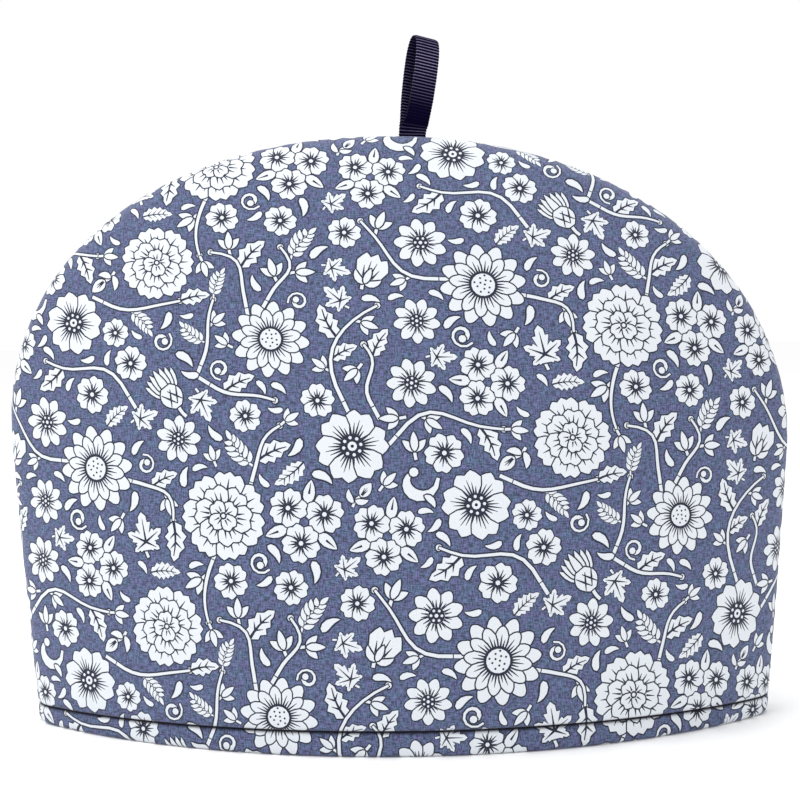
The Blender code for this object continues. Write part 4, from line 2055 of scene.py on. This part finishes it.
@dataclass(frozen=True)
class Cotton:
    """Plain-woven cotton, printed in white and a dark line, or plain on its reverse."""

    name: str = "printed_cotton"
    ground: Colour = (0.083, 0.119, 0.188)
    ground_deep: Colour = (0.097, 0.101, 0.190)
    white: Colour = (0.68, 0.715, 0.76)
    line: Colour = (0.020, 0.024, 0.044)
    # the colour of the painted shade in the stitched crease
    painted_crease_shade: Colour = (0.008, 0.008, 0.016)
    printed: bool = True
    thread: float = 0.0005
    heather: float = 0.54  # how far the ground's shade swings from thread to thread
    heather_blue: float = 1.3  # how much further the blue swings where a thread is light
    mottle: float = 260.0  # how fine the patches of the deeper ground are
    mottle_range: Pair = (0.36, 0.64)  # of the noise, from one ground to the other
    thread_range: Pair = (0.40, 0.60)  # of the weave's mask, from a dark thread to a light one
    roughness: float = 0.9
    specular: float = 0.25
    sheen: float = 0.12
    sheen_roughness: float = 0.5
    bump: float = 0.35
    bump_height: float = 0.00012

    def material(self, weave: NodeTree) -> Material:
        """Makes the cloth's material.

        Args:
            weave: The shared weave.

        Returns:
            The material.
        """
        values = {
            "Roughness": self.roughness,
            "Specular IOR Level": self.specular,
            "Sheen Weight": self.sheen,
            "Sheen Roughness": self.sheen_roughness,
        }
        made, nodes, shader = new_material(self.name, values)
        cloth, per_metre = nodes.attribute("cloth", "Vector"), 1 / self.thread
        threads = nodes.add("ShaderNodeGroup", node_tree=weave)
        nodes.feed(threads, {"Cloth": cloth, "Across": per_metre, "Along": per_metre})
        mottle = nodes.stretch(nodes.noise(cloth, self.mottle, detail=3.0), self.mottle_range)
        contrast = nodes.stretch(threads.outputs["Threads"], self.thread_range)
        high = (1 + self.heather, 1 + self.heather, 1 + self.heather_blue * self.heather)
        low = (1 - self.heather,) * 3
        both = {0: nodes.mix(mottle, self.ground, self.ground_deep)}
        both[1] = nodes.mix(contrast, low, high)
        colour = nodes.add("ShaderNodeVectorMath", both, operation="MULTIPLY").outputs[0]
        if self.printed:
            ink = nodes.attribute("ink")
            for level, tint in ((Ink.WHITE, self.white), (Ink.DARK, self.line)):
                above = nodes.reckon("GREATER_THAN", ink, level - 0.5)
                colour = nodes.mix(above, colour, tint)
        # Painted shade: the cloth turns near black along the stitched crease, by the painted
        # shade's mask.
        colour = nodes.mix(nodes.attribute("painted_crease_shade"), colour, self.painted_crease_shade)
        relief = {"Strength": self.bump, "Distance": self.bump_height}
        bump = nodes.add("ShaderNodeBump", {**relief, "Height": threads.outputs["Height"]})
        nodes.feed(shader, {"Base Color": colour, "Normal": bump.outputs[0]})
        return made


@dataclass(frozen=True)
class Grosgrain:
    """Navy grosgrain, with a painted highlight that makes the ribs brighter than the dips between
    them.
    """

    rib_pitch: float
    length: float
    name: str = "navy_grosgrain"
    colour: Colour = (0.0026, 0.0014, 0.0150)
    # the colour of the painted highlight on the rib tops
    raised: Colour = (0.36, 0.32, 0.52)
    rib_power: float = 14.0  # how narrow the painted highlight on a rib's top is
    painted_rib_light: tuple[Pair, ...] = (
        (0.0, 0.25), (0.073, 0.4), (0.104, 0.0), (0.176, 0.02), (0.27, 0.42), (0.373, 0.9),
        (0.456, 0.6), (0.518, 0.12), (0.622, 0.3), (0.829, 0.4), (1.0, 0.3),
    )  # how bright the painted highlight on the ribs is, by the share of the length: painted light and shade along the loop
    fuzz: float = 2400.0  # how fine the unevenness of the ribs is
    fuzz_range: Pair = (0.3, 0.7)
    fuzz_swing: Pair = (0.55, 1.2)  # how dull and how bright it makes them
    roughness: float = 0.65
    specular: float = 0.01

    def material(self) -> Material:
        """Makes the ribbon's material.

        Returns:
            The material.
        """
        values = {"Roughness": self.roughness, "Specular IOR Level": self.specular}
        made, nodes, shader = new_material(self.name, values)
        cloth = nodes.attribute("cloth", "Vector")
        along = nodes.add("ShaderNodeSeparateXYZ", {0: cloth}).outputs["Y"]
        wave = nodes.reckon("SINE", nodes.reckon("MULTIPLY", along, math.pi / self.rib_pitch))
        rib = nodes.reckon("POWER", nodes.reckon("ABSOLUTE", wave), self.rib_power)
        ramp = nodes.add("ShaderNodeValToRGB")
        nodes.feed(ramp, {0: nodes.reckon("MULTIPLY", along, 1 / self.length)})
        stops = ramp.color_ramp.elements
        while len(stops) < len(self.painted_rib_light):
            stops.new(0.5)
        for stop, (place, _) in zip(stops, self.painted_rib_light):
            stop.position = place
        for stop, (_, shade) in zip(stops, self.painted_rib_light):
            stop.color = (shade, shade, shade, 1.0)
        # The painted highlight: on the rib tops, brightened or shaded along the loop by the ramp
        painted_highlight = nodes.reckon("MULTIPLY", rib, ramp.outputs[0])
        fuzz = nodes.stretch(nodes.noise(cloth, self.fuzz), self.fuzz_range, self.fuzz_swing)
        share = nodes.reckon("MULTIPLY", painted_highlight, fuzz)
        nodes.feed(shader, {"Base Color": nodes.mix(share, self.colour, self.raised)})
        return made


@dataclass(frozen=True)
class Plain:
    """A finish of one colour."""

    name: str
    colour: Colour
    roughness: float
    specular: float

    def material(self) -> Material:
        """Makes the material."""
        values = {"Base Color": self.colour, "Roughness": self.roughness}
        return new_material(self.name, {**values, "Specular IOR Level": self.specular})[0]


THREAD = Plain("navy_thread", colour=(0.006, 0.005, 0.016), roughness=0.6, specular=0.15)
PAPER = Plain("paper", colour=(0.98, 0.98, 0.98), roughness=0.95, specular=0.0)


# The studio
# ----------


@dataclass
class Studio:
    """A pale floor, soft lights all round, and the camera."""

    eye: tuple[float, float, float] = (0.0005, -0.600, 0.169)
    pitch: float = math.radians(-2.90)
    roll: float = math.radians(0.69)
    lens: float = 61.26
    sensor: float = 36.0
    floor_size: float = 30.0
    sky: float = 1.0
    aim: tuple[float, float, float] = (0.0, 0.0, 0.12)  # of the lamps
    lamps: tuple[dict[str, float], ...] = (
        {"x": -1.0, "y": -0.35, "z": 1.7, "size": 1.2, "power": 18.0},
        {"x": 0.1, "y": 0.6, "z": 1.8, "size": 1.2, "power": 7.0},
    )

    def floor(self) -> None:
        """Lays the floor."""
        half = self.floor_size / 2
        corners = np.array([[-half, -half, 0], [half, -half, 0], [half, half, 0], [-half, half, 0]])
        made = new_object("floor", corners, [(0, 1, 2, 3)])
        made.data.materials.append(PAPER.material())

    def light(self) -> None:
        """Hangs the lamps and sets the sky."""
        world = bpy.data.worlds.new("studio")
        world.use_nodes = True
        sky = world.node_tree.nodes["Background"]
        sky.inputs["Color"].default_value = (1.0, 1.0, 1.0, 1.0)
        sky.inputs["Strength"].default_value = self.sky
        bpy.context.scene.world = world
        for number, row in enumerate(self.lamps, 1):
            lamp = bpy.data.lights.new(f"lamp_{number}", "AREA")
            lamp.size, lamp.energy = row["size"], row["power"]
            made = bpy.data.objects.new(f"lamp_{number}", lamp)
            made.location = (row["x"], row["y"], row["z"])
            aim = Vector(self.aim) - made.location
            made.rotation_euler = aim.to_track_quat("-Z", "Y").to_euler()
            bpy.context.scene.collection.objects.link(made)

    def camera(self) -> None:
        """Sets up the camera."""
        data = bpy.data.cameras.new("camera")
        data.lens, data.sensor_width = self.lens, self.sensor
        made = bpy.data.objects.new("camera", data)
        made.location = self.eye
        made.rotation_euler = (math.pi / 2 + self.pitch, self.roll, 0.0)
        bpy.context.scene.collection.objects.link(made)
        bpy.context.scene.camera = made


# The cosy
# --------


def report(piece: Object) -> None:
    """Says that a piece is made."""
    LOG.info("%s: %d faces", piece.name, len(piece.data.polygons))


def main() -> None:
    """Builds the cosy, piece by piece."""
    logging.basicConfig(level=logging.INFO, format="%(message)s")
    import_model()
    bpy.context.scene.view_settings.view_transform = "Standard"
    studio = Studio()
    studio.camera()
    studio.light()
    studio.floor()
    form, pattern, weave = CosyForm(), FloralPrint(), Weave().group()
    LOG.info("print: %d shapes in a repeat", len(pattern.shapes))
    printed = Cotton().material(weave)
    reverse = Cotton("cotton_reverse", printed=False).material(weave)
    ribbon = RibbonLoop(form)
    navy = Grosgrain(rib_pitch=ribbon.rib_pitch, length=ribbon.length()).material()
    thread = THREAD.material()
    flat_area = area_of(form.outline(spacing=0.003))
    for side, shift in ((Side.FRONT, (12.0, 8.0)), (Side.BACK, (70.0, 40.0))):
        panel = Panel(form, pattern, side, shift)
        cloth = panel.build()
        cloth.data.materials.append(printed)
        cloth.data.materials.append(reverse)
        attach(cloth, BODY)
        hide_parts(panel.name)
        name = f"{side.name.lower()}_stitches"
        stitches = StitchRun(name, pitch=0.0030, length=0.0027, width=0.0007)
        sewn = stitches.build([hem_line(form, side)], thread)
        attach(sewn, BODY)
        report(cloth)
        report(sewn)
    loop = ribbon.build()
    loop.data.materials.append(navy)
    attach(loop, BODY)
    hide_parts("ribbon_loop")
    picots = StitchRun("ribbon_edge", pitch=ribbon.rib_pitch, length=0.0010, width=0.00045)
    picots = picots.build(ribbon.edge_lines(), thread)
    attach(picots, BODY)
    ribbon.length()
    report(loop)
    report(picots)


if __name__ == "__main__":
    main()
